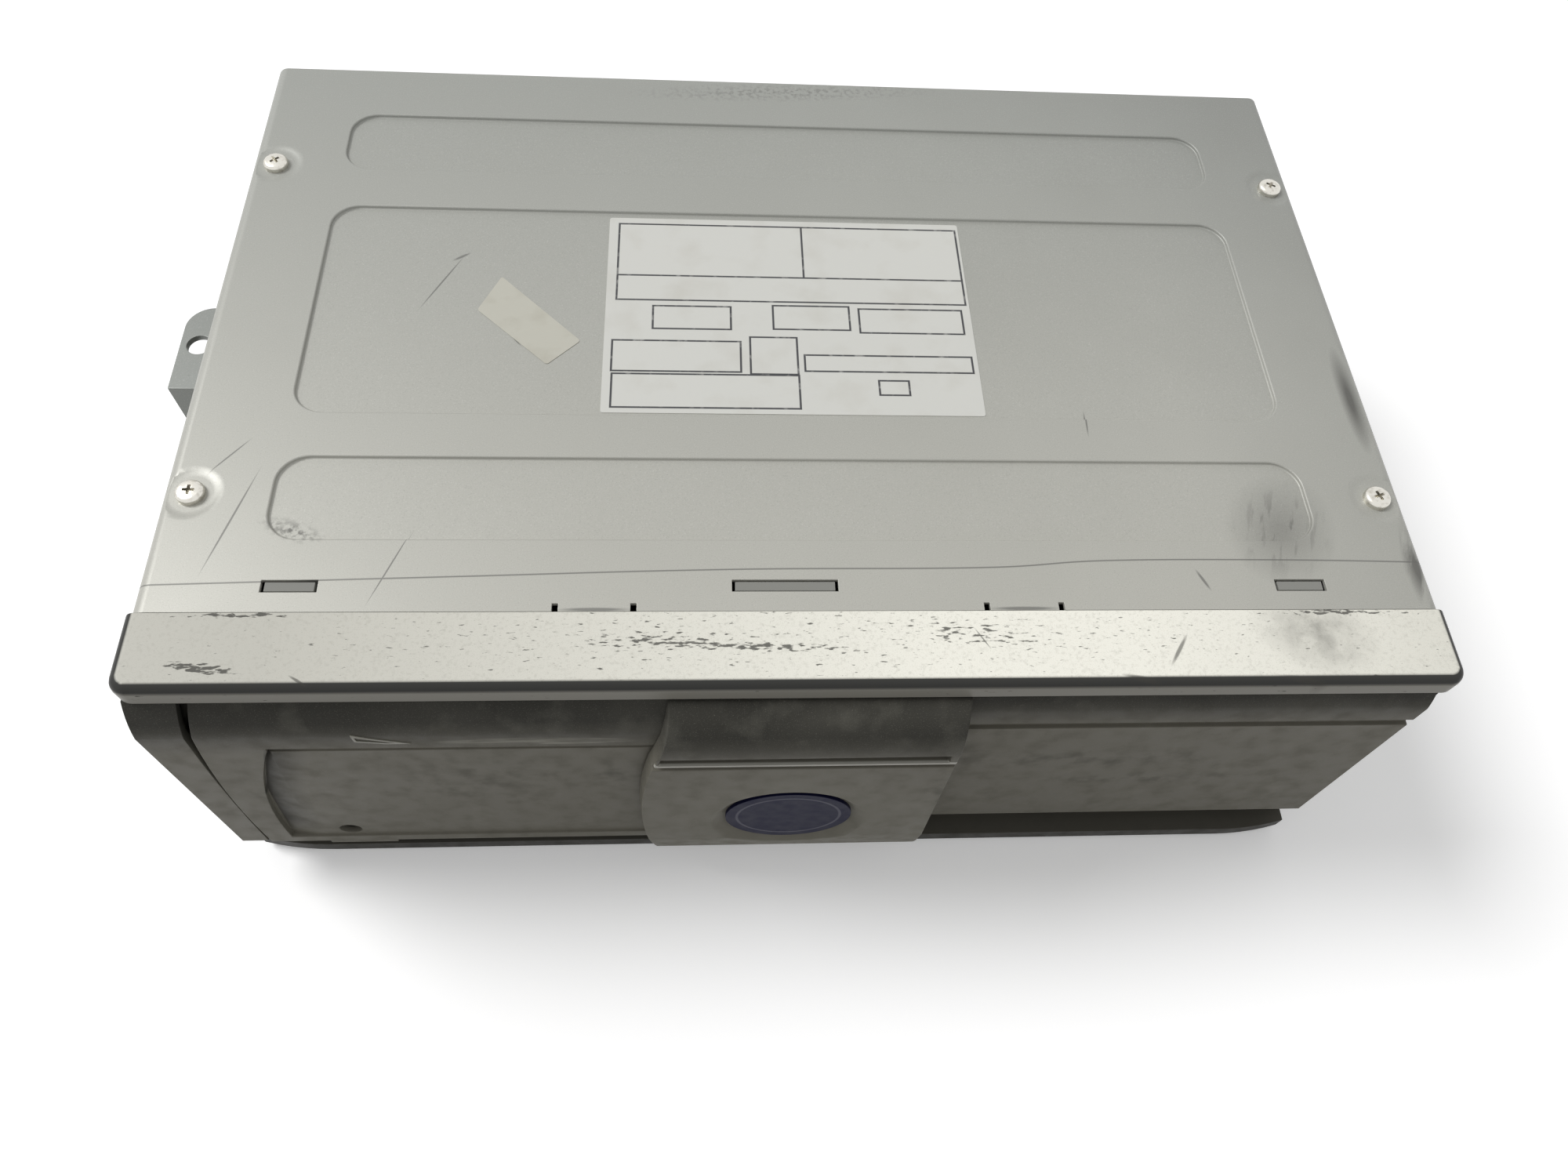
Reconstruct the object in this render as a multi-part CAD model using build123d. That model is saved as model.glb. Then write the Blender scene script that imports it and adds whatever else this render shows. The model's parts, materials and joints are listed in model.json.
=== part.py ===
"""A ten disc changer for a car, 262 mm wide: a steel case, a plastic front and the player behind it.

The front has a brow, a fixed cheek at the left, a fixed panel at the right and a door that slides to the
right past the fixed panel. Behind the door a magazine of ten trays runs in a steel cage. At the right of
the magazine a deck climbs a lead screw to the level of each tray, and carries the spindle, the pickup and
the clamp arm.

Millimetres. X runs right, Y runs to the rear and Z runs up. The origin is the middle of the chassis'
bottom face. Depths are measured forward from the seam between the cover and the front, drops down from the
cover's top, and side rooms inwards from a side of the case. A place is a depth or an X with a drop.
"""

from build123d import *
from math import cos, pi, radians, sin, tan
import os

# Case
CASE_WIDTH = 262.0
CASE_HEIGHT = 90.0
MAGAZINE_DEPTH = 140.0
MAGAZINE_FRONT_REACH = 2.3
MAGAZINE_REAR_ROOM = 21.7
CASE_DEPTH = MAGAZINE_DEPTH - MAGAZINE_FRONT_REACH + MAGAZINE_REAR_ROOM
COVER_SHEET = 1.0
COVER_BEND = 3.0
COVER_FOOT = 1.0
CHASSIS_SHEET = 1.2
CHASSIS_GAP = 0.1
EAR_REACH = 9.0
EAR_LENGTH = 14.0
EAR_BEND = 2.0
FLOOR_RIB_WIDTH = 8.0
FLOOR_RIB_RISE = 0.6
FLOOR_RIB_Y = (-40.0, 30.0)
FLOOR_RIB_SHARE = 0.72

# Cover: pressed panels, screw dimples, clip slots and tabs
PRESS_SIDE_ROOM = 22.0
PRESS_DEPTH = 0.8
PRESS_CORNER = 6.5
PRESS_FROM_SEAM = (16.6, 36.8, 48.4)
PRESS_FROM_REAR = (49.3, 36.4, 16.9)
SCREW_SIDE_ROOM = 5.9
SCREW_FROM_SEAM = 27.5
SCREW_FROM_REAR = 35.4
DIMPLE_RADIUS = 6.8
DIMPLE_FLOOR_RADIUS = 4.2
DIMPLE_DEPTH = 0.6
SLOT_SIDE_ROOM = 29.0
SLOT_WIDTH = 10.8
MIDDLE_SLOT = (-5.2, 21.4)
SLOT_BEHIND_SEAM = 4.4
SLOT_LENGTH = 2.7
TAB_MIDDLE = 43.0
TAB_WIDTH = 15.3
TAB_NOTCH = 1.2
TAB_NOTCH_DEPTH = 1.8

# Screw holes in the right side and the bracket on the left side
SIDE_HOLE_RADIUS = 2.1
SIDE_HOLE_SPACING = 32.0
SIDE_HOLE_Y = -6.0
SIDE_HOLE_DROP = 38.0
BRACKET_SHEET = 1.5
BRACKET_REACH = 10.0
BRACKET_FRONT = -17.5
BRACKET_LENGTH = 24.0
BRACKET_TOP_DROP = 10.0
BRACKET_CORNER = 6.0
BRACKET_PLATE_HEIGHT = 38.0
BRACKET_PLATE_LENGTH = 46.0
BRACKET_GUSSET = 30.0
GUSSET_SHARE = 0.35
BRACKET_HOLE_RADIUS = 2.75

# Brow and bezel
BROW_OVERHANG = 0.8
BROW_DEPTH = 16.5
BROW_HEIGHT = 5.5
BROW_EDGE = 2.2
BROW_END_RADIUS = 3.5
BEZEL_SKIN = 2.2
WALL_DEPTH = 14.3
WALL_THICKNESS = 2.5
WALL_BOTTOM = 3.0
SIDE_SKIN = 2.2
LIP_END = 0.6
LIP_STRAIGHT_END = 18.0
LIP_DEPTH = 20.0
LIP_END_DEPTH = 17.8
LIP_BOTTOM = 2.0
LIP_TOP = 6.2
CLIP_THICKNESS = 1.5
CLIP_LENGTH = 7.8
CLIP_SIDE_GAP = 0.6
NOSE_GAP = 0.3

# Side profile of the front, depth and height
FACE_TOP_PLACE = (15.8, 6.0)
FACE_SHOULDER_PLACE = (18.3, 10.2)
FACE_CURVE_END_PLACE = (19.9, 14.7)
FACE_BOTTOM_DEPTH = 21.4
FACE_BOTTOM_Z = 13.5
GROOVE_DROP = 21.6
GROOVE_WIDTH = 2.4
GROOVE_DEPTH = 1.0

# Cheek and the door's left edge, from the left side of the case
CHEEK_TOP_WIDTH = 10.2
CHEEK_BEND_WIDTH = 7.7
CHEEK_BOTTOM_WIDTH = 6.0
CHEEK_BEND_DROP = 32.0
CHEEK_BOTTOM_Z = 14.5
SLIT_TOP = 2.2
SLIT_BEND = 0.5
SLIT_BOTTOM = 0.5

# Door
DOOR_SKIN = 2.2
DOOR_RIGHT = 29.0
DOOR_WALL_GAP = 0.4
DOOR_TRAVEL_ROOM = 129.0
PANEL_RECESS = 0.6
PANEL_EDGE = (22.6, 15.3, 12.2)
SCOOP_EDGE = (23.0, 20.6, 18.4)
SCOOP_DEPTH = 1.5
PANEL_MIDDLE_Z = 46.0
PANEL_BOTTOM_BAND = 3.3
PEEP_RADIUS = 2.5
PEEP_X = 26.5
PEEP_Z = 20.1
HOOK_WIDTH = 16.0
HOOK_X = (27.0, 117.0)
HOOK_SHEET = 1.4
HOOK_LIP = 1.5
HOOK_LIP_DROP = 3.0
TOP_SLOT_DROP = 8.3
BOTTOM_SLOT_Z = 9.3
HOOK_GAP = 0.35
HOOK_END_GAP = 1.5

# Fixed panel at the right
PANEL_STEP = 3.8
PANEL_SKIN = 2.2
PANEL_LEFT = 16.0
PANEL_TOP_DROP = 9.8
PANEL_BOTTOM_RISE = 0.9

# Handle and badge
HANDLE_LEFT_TOP_PLACE = (-26.0, 2.0)
HANDLE_LEFT_UPPER_PLACE = (-32.1, 24.7)
HANDLE_LEFT_MIDDLE = (-35.0, 42.0)
HANDLE_LEFT_FOOT = (-32.2, 10.5)
HANDLE_RIGHT_TOP_PLACE = (30.2, 2.0)
HANDLE_RIGHT_FOOT = (30.6, 10.5)
HANDLE_CORNER = 4.0
HANDLE_BOTTOM_Z = 10.5
HANDLE_TOP_PLACE = (17.0, 6.1)
HANDLE_BROW_PLACE = (21.9, 10.0)
HANDLE_BULGE_PLACE = (24.3, 18.0)
FINGER_SLOT_HEIGHT = 3.0
FINGER_SLOT_ENDS = (-30.6, 28.8)
FINGER_SLOT_DEPTH = 21.3
FINGER_LIP_DEPTH = 24.4
FINGER_LIP_HEIGHT = 1.2
FINGER_GROOVE_DEPTH = 23.2
FINGER_GROOVE_HEIGHT = 1.6
HANDLE_FACE_DEPTH = 24.3
HANDLE_SWELL = (25.6, 24.0)
HANDLE_SWELL_MIDDLE = (24.8, 45.0)
HANDLE_FOOT = (24.0, 13.0)
HANDLE_SKIN = 2.6
HANDLE_FLANK = 1.8
BADGE_X = -2.2
BADGE_Z = 35.8
BADGE_RADIUS = 14.4
BADGE_THICKNESS = 0.9
DISH_RADIUS = 14.8
DISH_RIM_RADIUS = 17.3
DISH_FLOOR_DEPTH = 23.4
DISH_RIM_DEPTH = 25.0

# Magazine and its trays
TRAY_COUNT = 10
STACK_ROOM = 39.0
TRAY_SHEET = 1.5
TRAY_GROOVE = 2.0
TRAY_GAP = 0.2
TRAY_END_GAP = 1.0
DISC_RADIUS = 60.0
DISC_POCKET_GAP = 0.8
POCKET_DEPTH = 0.9
POCKET_ARC_SHARE = 0.34
TRAY_WINDOW = 17.0
TRAY_PICKUP_SLOT = 16.0
MAGAZINE_SIDE_ROOM = 11.5
MAGAZINE_WIDTH = 127.0
MAGAZINE_BOTTOM = 14.0
MAGAZINE_SKIN = 2.0
MAGAZINE_END = 4.0
MAGAZINE_CORNER = 2.0
GRIP_WIDTH = 46.0
GRIP_HEIGHT = 22.0
GRIP_DEPTH = 1.6

# Steel cage round the magazine
CAGE_SHEET = 1.2
CAGE_GAP = 0.3
CAGE_REAR_GAP = 2.0
CAGE_FRONT_REACH = 9.1
CAGE_OPENING_GAP = 1.0
CAGE_FOOT_WIDTH = 10.0

# Eject button and its switch
BUTTON_SIDE_ROOM = 37.0
BUTTON_WIDTH = 19.2
BUTTON_HEIGHT = 4.6
BUTTON_DROP = 14.4
BUTTON_GAP = 0.35
BUTTON_PROUD = 1.2
BUTTON_FLANGE = 1.2
BUTTON_FLANGE_RIM = 1.2
BUTTON_NECK = 0.4
BUTTON_CHAMFER = 0.8
BUTTON_TRAVEL = 3.0
STEM_RADIUS = 1.5
STEM_LENGTH = 2.2
SWITCH_GAP = 0.4
SWITCH_BODY = 3.0
SWITCH_SIZE = 6.0
BOARD_THICKNESS = 1.6
SWITCH_BOARD_WIDTH = 28.0
SWITCH_BOARD_RISE = 4.0

# Player deck and the way it climbs
DECK_LEFT_GAP = 6.5
DECK_RIGHT_ROOM = 8.0
DECK_FRONT_REACH = 8.3
DECK_REAR_ROOM = 22.2
DECK_BOTTOM = 5.0
DECK_SHEET = 1.2
DECK_RIM = 4.0
SPINDLE_ROOM = 52.0
ROD_RADIUS = 2.0
ROD_INSET = 4.0
ROD_FOOT_HEIGHT = 2.4
SCREW_FOOT_WIDTH = 9.0
BUSH_RADIUS = 3.8
BUSH_HEIGHT = 10.0
FORK_GAP = 0.15
FORK_EYE = 8.4
RUNNING_GAP = 0.08
LEAD_SCREW_RADIUS = 3.0
LEAD_SCREW_ROOM = 13.7
NUT_RADIUS = 6.6
NUT_HEIGHT = 9.0

# Gears of the lift
GEAR_MODULE = 0.8
GEAR_TEETH = 24
PINION_TEETH = 12
GEAR_FACE = 3.0
PRESSURE_ANGLE = 20.0
BACKLASH = 0.16
TIP_SHARE = 0.9
ROOT_SHARE = 1.15
LIFT_MOTOR_RADIUS = 7.0
LIFT_MOTOR_HEIGHT = 26.0
MOTOR_SHAFT_RADIUS = 1.0
BRIDGE_ROOM = 12.3
BRIDGE_FRONT = 9.0
BRIDGE_FLANGE = 12.0
BRIDGE_MARGIN = 12.0
GEAR_ABOVE_BRIDGE = 0.5
TOP_FRAME_SHEET = 1.2
TOP_FRAME_BAND = 9.0
TOP_FRAME_ROOM = 4.8

# Spindle, turntable and clamp
SPINDLE_MOTOR_RADIUS = 11.5
SPINDLE_MOTOR_HEIGHT = 7.4
SPINDLE_SHAFT_RADIUS = 1.0
TURNTABLE_RADIUS = 14.0
TURNTABLE_RIM = 1.6
DISC_SEAT_Z = 17.0
CONE_RADIUS = 7.4
CONE_TIP_RADIUS = 5.0
CONE_HEIGHT = 1.9
CLAMPER_RADIUS = 14.0
CLAMPER_HEIGHT = 2.6
CLAMPER_GAP = 0.7
ARM_SHEET = 1.2
ARM_WIDTH = 34.0
ARM_TIP_WIDTH = 22.0
ARM_TIP_REACH = 11.0
ARM_SHOULDER = 14.0
ARM_HEEL = 3.0
ARM_RIM = 3.0
ARM_PIVOT_ROOM = 4.5
ARM_PIN_RADIUS = 1.5
ARM_PIN_BED = 0.4
POST_GAP = 0.4
POST_SHEET = 1.6
POST_DEPTH = 7.0
POST_RISE = 1.0

# Pickup and its sled
SLED_START = 13.0
SLED_ROOM = 35.5
SLED_CLEARANCE = 0.5
PICKUP_WIDTH = 22.0
PICKUP_LENGTH = 16.0
PICKUP_BOTTOM = 7.6
PICKUP_TOP = 14.4
PICKUP_CORNER = 2.0
LUG_TOP = 12.2
LUG_LENGTH = 4.0
LENS_RADIUS = 3.2
LENS_HEIGHT = 0.9
SLED_ROD_RADIUS = 1.5
SLED_ROD_SPACING = 28.0
SLED_ROD_Z = 9.6
SLED_SCREW_RADIUS = 1.2
SLED_SCREW_OFFSET = 20.8
SCREW_END = 0.2
SEAT_GAP = 0.02
SEAT_TOP = 12.6
SLED_MOTOR_RADIUS = 5.0
SLED_MOTOR_LENGTH = 9.0
SLED_MOTOR_RISE = 2.0
SADDLE_WIDTH = 6.0
SLED_BLOCK = 4.0

# Loading carriage that draws a tray onto the deck
LOAD_ROD_RADIUS = 1.5
LOAD_ROD_INSET = 12.0
LOAD_ROD_Z = 11.5
LOAD_SEAT_DEPTH = 6.0
LOAD_SEAT_TOP = 14.5
CARRIAGE_LENGTH = 12.0
CARRIAGE_DEPTH = 7.0
CARRIAGE_HEIGHT = 6.0
CARRIAGE_INSET = 17.0
LOAD_ROOM = 41.0
CARRIAGE_FINGER = 1.6

# Boards and sockets at the rear
REAR_SHEET = 1.0
BOARD_SIDE_ROOM = 15.0
BOARD_RIGHT = -8.0
BOARD_BOTTOM = 16.0
BOARD_TOP_ROOM = 12.0
BOARD_REAR_ROOM = 14.7
SOCKET_SIDE_ROOM = 35.0
SOCKET_Z = 36.0
SOCKET_WIDTH = 19.0
SOCKET_BORE_RADIUS = 6.6
SOCKET_BORE_DEPTH = 7.0
SOCKET_PROUD = 1.2
JACK_SIDE_ROOM = (69.0, 87.0)
JACK_Z = 36.0
JACK_BODY = 12.0
JACK_BODY_PROUD = 0.6
JACK_RADIUS = 4.15
JACK_BORE_RADIUS = 1.7
JACK_BORE_DEPTH = 9.0
JACK_LENGTH = 8.5
PANEL_HOLE_GAP = 0.3
CHIPS = ((47.0, 62.0, 14.0), (79.0, 60.0, 18.0), (107.0, 58.0, 11.0))
CHIP_HEIGHT = 2.4
CAPACITOR = (107.0, 30.0)
CAPACITOR_RADIUS = 4.0
CAPACITOR_HEIGHT = 9.5


def below_top(place):
    """Turns a place with a drop below the case's top into one with a height."""
    return place[0], CASE_HEIGHT - place[1]


# Values that follow from the sizes above
SIDE_HOLE_Z = CASE_HEIGHT - SIDE_HOLE_DROP
BRACKET_TOP = CASE_HEIGHT - BRACKET_TOP_DROP
FACE_TOP = below_top(FACE_TOP_PLACE)
FACE_SHOULDER = below_top(FACE_SHOULDER_PLACE)
FACE_CURVE_END = below_top(FACE_CURVE_END_PLACE)
GROOVE_Z = CASE_HEIGHT - GROOVE_DROP
CHEEK_BEND_Z = CASE_HEIGHT - CHEEK_BEND_DROP
DOOR_TRAVEL = CASE_WIDTH - DOOR_TRAVEL_ROOM
TOP_SLOT_Z = CASE_HEIGHT - TOP_SLOT_DROP
PANEL_TOP_Z = CASE_HEIGHT - PANEL_TOP_DROP
HANDLE_LEFT_TOP = below_top(HANDLE_LEFT_TOP_PLACE)
HANDLE_LEFT_UPPER = below_top(HANDLE_LEFT_UPPER_PLACE)
HANDLE_RIGHT_TOP = below_top(HANDLE_RIGHT_TOP_PLACE)
HANDLE_TOP = below_top(HANDLE_TOP_PLACE)
HANDLE_BROW = below_top(HANDLE_BROW_PLACE)
HANDLE_BULGE = below_top(HANDLE_BULGE_PLACE)
TRAY_PITCH = (CASE_HEIGHT - STACK_ROOM) / TRAY_COUNT
BUTTON_Z = CASE_HEIGHT - BUTTON_DROP
SEAM = -CASE_DEPTH / 2
REAR = CASE_DEPTH / 2
CASE_LEFT = -CASE_WIDTH / 2
CASE_RIGHT = CASE_WIDTH / 2
CHASSIS_HALF = CASE_RIGHT - COVER_SHEET - CHASSIS_GAP
EAR_TOP = CASE_HEIGHT - COVER_SHEET - CHASSIS_GAP
WALL_HEIGHT = EAR_TOP - EAR_BEND
PRESS_HALF_WIDTH = CASE_RIGHT - PRESS_SIDE_ROOM
PRESS_EDGES = [SEAM + edge for edge in PRESS_FROM_SEAM] + [REAR - edge for edge in PRESS_FROM_REAR]
SCREW_X = CASE_RIGHT - SCREW_SIDE_ROOM
SCREW_Y = (SEAM + SCREW_FROM_SEAM, REAR - SCREW_FROM_REAR)
SLOTS = ((CASE_LEFT + SLOT_SIDE_ROOM, SLOT_WIDTH), MIDDLE_SLOT, (CASE_RIGHT - SLOT_SIDE_ROOM, SLOT_WIDTH))
BROW_BOTTOM = CASE_HEIGHT - BROW_HEIGHT
WALL_FRONT = SEAM - WALL_DEPTH
WALL_BACK = WALL_FRONT + WALL_THICKNESS
MAGAZINE_LEFT = CASE_LEFT + MAGAZINE_SIDE_ROOM
MAGAZINE_RIGHT = MAGAZINE_LEFT + MAGAZINE_WIDTH
MAGAZINE_FRONT = SEAM - MAGAZINE_FRONT_REACH
MAGAZINE_REAR = REAR - MAGAZINE_REAR_ROOM
MAGAZINE_TOP = MAGAZINE_BOTTOM + 2 * MAGAZINE_SKIN + TRAY_PITCH * TRAY_COUNT + TRAY_END_GAP
FIRST_TRAY_Z = MAGAZINE_BOTTOM + MAGAZINE_SKIN + TRAY_END_GAP / 2
TRAY_MIDDLE_Y = (MAGAZINE_FRONT + MAGAZINE_REAR) / 2
CAGE_FLOOR_TOP = MAGAZINE_BOTTOM - CAGE_GAP
CAGE_CEILING = MAGAZINE_TOP + CAGE_GAP
CAGE_LEFT = MAGAZINE_LEFT - CAGE_GAP
CAGE_FRONT = SEAM - CAGE_FRONT_REACH
BUTTON_X = CASE_LEFT + BUTTON_SIDE_ROOM
BUTTON_FRONT = WALL_FRONT - BUTTON_PROUD
STEM_END = WALL_BACK + CAGE_GAP + BUTTON_FLANGE + STEM_LENGTH
DECK_LEFT = MAGAZINE_RIGHT + DECK_LEFT_GAP
DECK_RIGHT = CASE_RIGHT - DECK_RIGHT_ROOM
DECK_FRONT = SEAM - DECK_FRONT_REACH
DECK_REAR = REAR - DECK_REAR_ROOM
DECK_TOP = DECK_BOTTOM + DECK_SHEET
SPINDLE_X = DECK_LEFT + SPINDLE_ROOM
SPINDLE_Y = TRAY_MIDDLE_Y
SLED_TRAVEL = DECK_REAR - SPINDLE_Y - SLED_ROOM
FRONT_ROD_Y = DECK_FRONT + 1.25 * ROD_INSET
FORKED_RODS = ((DECK_LEFT + 1.5 * ROD_INSET, FRONT_ROD_Y), (DECK_RIGHT - ROD_INSET, FRONT_ROD_Y))
BUSHED_ROD = (DECK_RIGHT - ROD_INSET, DECK_REAR - ROD_INSET)
RODS = FORKED_RODS + (BUSHED_ROD,)
ROD_TOP = CASE_HEIGHT - TOP_FRAME_ROOM - TOP_FRAME_SHEET
LEAD_SCREW = (DECK_LEFT + 1.5 * ROD_INSET, REAR - LEAD_SCREW_ROOM)
REAR_PANEL_INSIDE = REAR - REAR_SHEET
BRIDGE_TOP = CASE_HEIGHT - BRIDGE_ROOM
GEAR_BOTTOM = BRIDGE_TOP + GEAR_ABOVE_BRIDGE
GEAR_DISTANCE = GEAR_MODULE * (GEAR_TEETH + PINION_TEETH) / 2
LIFT_MOTOR = (LEAD_SCREW[0] + GEAR_DISTANCE, LEAD_SCREW[1])
CLAMPER_BOTTOM = DISC_SEAT_Z + CONE_HEIGHT + CLAMPER_GAP
ARM_Z = CLAMPER_BOTTOM + CLAMPER_HEIGHT
ARM_PIVOT_Y = DECK_REAR - ARM_PIVOT_ROOM
ARM_PIVOT_Z = ARM_Z + ARM_SHEET + ARM_PIN_RADIUS - ARM_PIN_BED
LOAD_ROD_Y = DECK_FRONT + LOAD_ROD_INSET
CARRIAGE_START = DECK_LEFT + CARRIAGE_INSET
CARRIAGE_TRAVEL = DECK_RIGHT - DECK_LEFT - LOAD_ROOM
BOARD_Y = REAR - BOARD_REAR_ROOM
SOCKET_X = CASE_LEFT + SOCKET_SIDE_ROOM
JACK_X = tuple(CASE_LEFT + room for room in JACK_SIDE_ROOM)


def block(x0, x1, y0, y1, z0, z1):
    """A box given by its limits on the three axes."""
    return Pos((x0 + x1) / 2, (y0 + y1) / 2, (z0 + z1) / 2) * Box(x1 - x0, y1 - y0, z1 - z0)


def upright(radius, x, y, z0, z1):
    """A round bar that stands from z0 to z1."""
    return Pos(x, y, (z0 + z1) / 2) * Cylinder(radius, z1 - z0)


def bar_y(radius, x, z, y0, y1):
    """A round bar along Y."""
    return Pos(x, (y0 + y1) / 2, z) * Rot(90, 0, 0) * Cylinder(radius, y1 - y0)


def bar_x(radius, y, z, x0, x1):
    """A round bar along X."""
    return Pos((x0 + x1) / 2, y, z) * Rot(0, 90, 0) * Cylinder(radius, x1 - x0)


def side_point(depth_and_z, back=0.0, x=0.0):
    """A point of the front's side profile, moved back by a distance."""
    depth, z = depth_and_z
    return (x, SEAM - depth + back, z)


def face_depth(z):
    """How far the straight run of the front's side profile stands forward at a height."""
    share = (FACE_CURVE_END[1] - z) / (FACE_CURVE_END[1] - FACE_BOTTOM_Z)
    return FACE_CURVE_END[0] + share * (FACE_BOTTOM_DEPTH - FACE_CURVE_END[0])


def face_curve(back, bottom_z, x):
    """The front's side profile: the shoulder's arc under the brow, then the straight run down."""
    top = side_point(FACE_TOP, back, x)
    shoulder = side_point(FACE_SHOULDER, back, x)
    end = side_point(FACE_CURVE_END, back, x)
    bottom = side_point((face_depth(bottom_z), bottom_z), back, x)
    return [ThreePointArc(top, shoulder, end), Line(end, bottom)]


def face_shell(x0, x1, back, skin, bottom_z):
    """A skin that follows the front's side profile from x0 to x1."""
    outer = face_curve(back, bottom_z, x0)
    inner = face_curve(back + skin, bottom_z, x0)
    top = Line(outer[0] @ 0, inner[0] @ 0)
    bottom = Line(outer[1] @ 1, inner[1] @ 1)
    return extrude(make_face(outer + inner + [top, bottom]), amount=x1 - x0, dir=(1, 0, 0))


def groove(x0, x1, back):
    """The cutter of the long groove under the upper band."""
    depth = face_depth(GROOVE_Z) - back
    front = SEAM - depth
    low, high = GROOVE_Z - GROOVE_WIDTH / 2, GROOVE_Z + GROOVE_WIDTH / 2
    return block(x0, x1, front - GROOVE_DEPTH * 2, front + GROOVE_DEPTH, low, high)


def edge_cutter(points, reach):
    """A cutter with a curved side through three points in front view, and its body towards reach."""
    (x0, z0), (x1, z1), (x2, z2) = points
    y = SEAM
    curve = ThreePointArc((x0, y, z0), (x1, y, z1), (x2, y, z2))
    sides = Polyline((x2, y, z2), (reach, y, z2), (reach, y, z0), (x0, y, z0))
    return extrude(make_face([curve, sides]), amount=CASE_DEPTH, dir=(0, -1, 0))


def chassis_base():
    """The steel tray: floor with pressed ribs, side walls, ears under the cover, the lead screw's foot."""
    front, rear = SEAM + CHASSIS_GAP, REAR - CHASSIS_GAP
    tray = block(-CHASSIS_HALF, CHASSIS_HALF, front, rear, 0, CHASSIS_SHEET)
    tongue = CASE_RIGHT - SIDE_SKIN - CHASSIS_GAP
    tray += block(-tongue, tongue, WALL_BACK + CHASSIS_GAP, front, 0, CHASSIS_SHEET)
    for y in FLOOR_RIB_Y:
        tray += Pos(0, y, CHASSIS_SHEET) * extrude(rib_plan(0), amount=FLOOR_RIB_RISE)
        tray -= Pos(0, y, 0) * extrude(rib_plan(CHASSIS_SHEET), amount=FLOOR_RIB_RISE)
    for side in (-1, 1):
        x0, x1 = sorted((side * (CHASSIS_HALF - CHASSIS_SHEET), side * CHASSIS_HALF))
        tray += block(x0, x1, front, rear, 0, WALL_HEIGHT)
        for y in SCREW_Y:
            tray += ear(side, y)
    half = SIDE_HOLE_RADIUS + CHASSIS_GAP
    for y in side_holes():
        tray -= block(0, CASE_RIGHT, y - half, y + half, SIDE_HOLE_Z - half, SIDE_HOLE_Z + half)
    x, y = LEAD_SCREW
    half = SCREW_FOOT_WIDTH / 2
    tray += block(x - half, x + half, y - half, y + half, CHASSIS_SHEET, CHASSIS_SHEET + ROD_FOOT_HEIGHT)
    return tray - upright(LEAD_SCREW_RADIUS + RUNNING_GAP, x, y, CHASSIS_SHEET, CASE_HEIGHT)


def rib_plan(inset):
    """A floor rib in plan, drawn in by an inset: a long bar with its corners cut."""
    width = FLOOR_RIB_WIDTH - 2 * inset
    bar = Rectangle(CASE_WIDTH * FLOOR_RIB_SHARE - 2 * inset, width)
    return chamfer(bar.vertices(), width / 3)


def ear(side, y):
    """The lug that bends in from the top of a side wall, under a screw of the cover."""
    inner = CHASSIS_HALF - CHASSIS_SHEET
    low = EAR_TOP - CHASSIS_SHEET
    section = Polyline(
        (side * inner, y, WALL_HEIGHT - EAR_BEND),
        (side * CHASSIS_HALF, y, WALL_HEIGHT - EAR_BEND),
        (side * CHASSIS_HALF, y, EAR_TOP - EAR_BEND),
        (side * (CHASSIS_HALF - EAR_BEND), y, EAR_TOP),
        (side * (CHASSIS_HALF - EAR_REACH), y, EAR_TOP),
        (side * (CHASSIS_HALF - EAR_REACH), y, low),
        (side * (CHASSIS_HALF - EAR_BEND), y, low),
        (side * inner, y, EAR_TOP - EAR_BEND),
        close=True,
    )
    return extrude(make_face(section), amount=EAR_LENGTH / 2, dir=(0, 1, 0), both=True)


def side_holes():
    """Where the two mounting holes of the right side lie along the case."""
    return SIDE_HOLE_Y - SIDE_HOLE_SPACING / 2, SIDE_HOLE_Y + SIDE_HOLE_SPACING / 2


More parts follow.
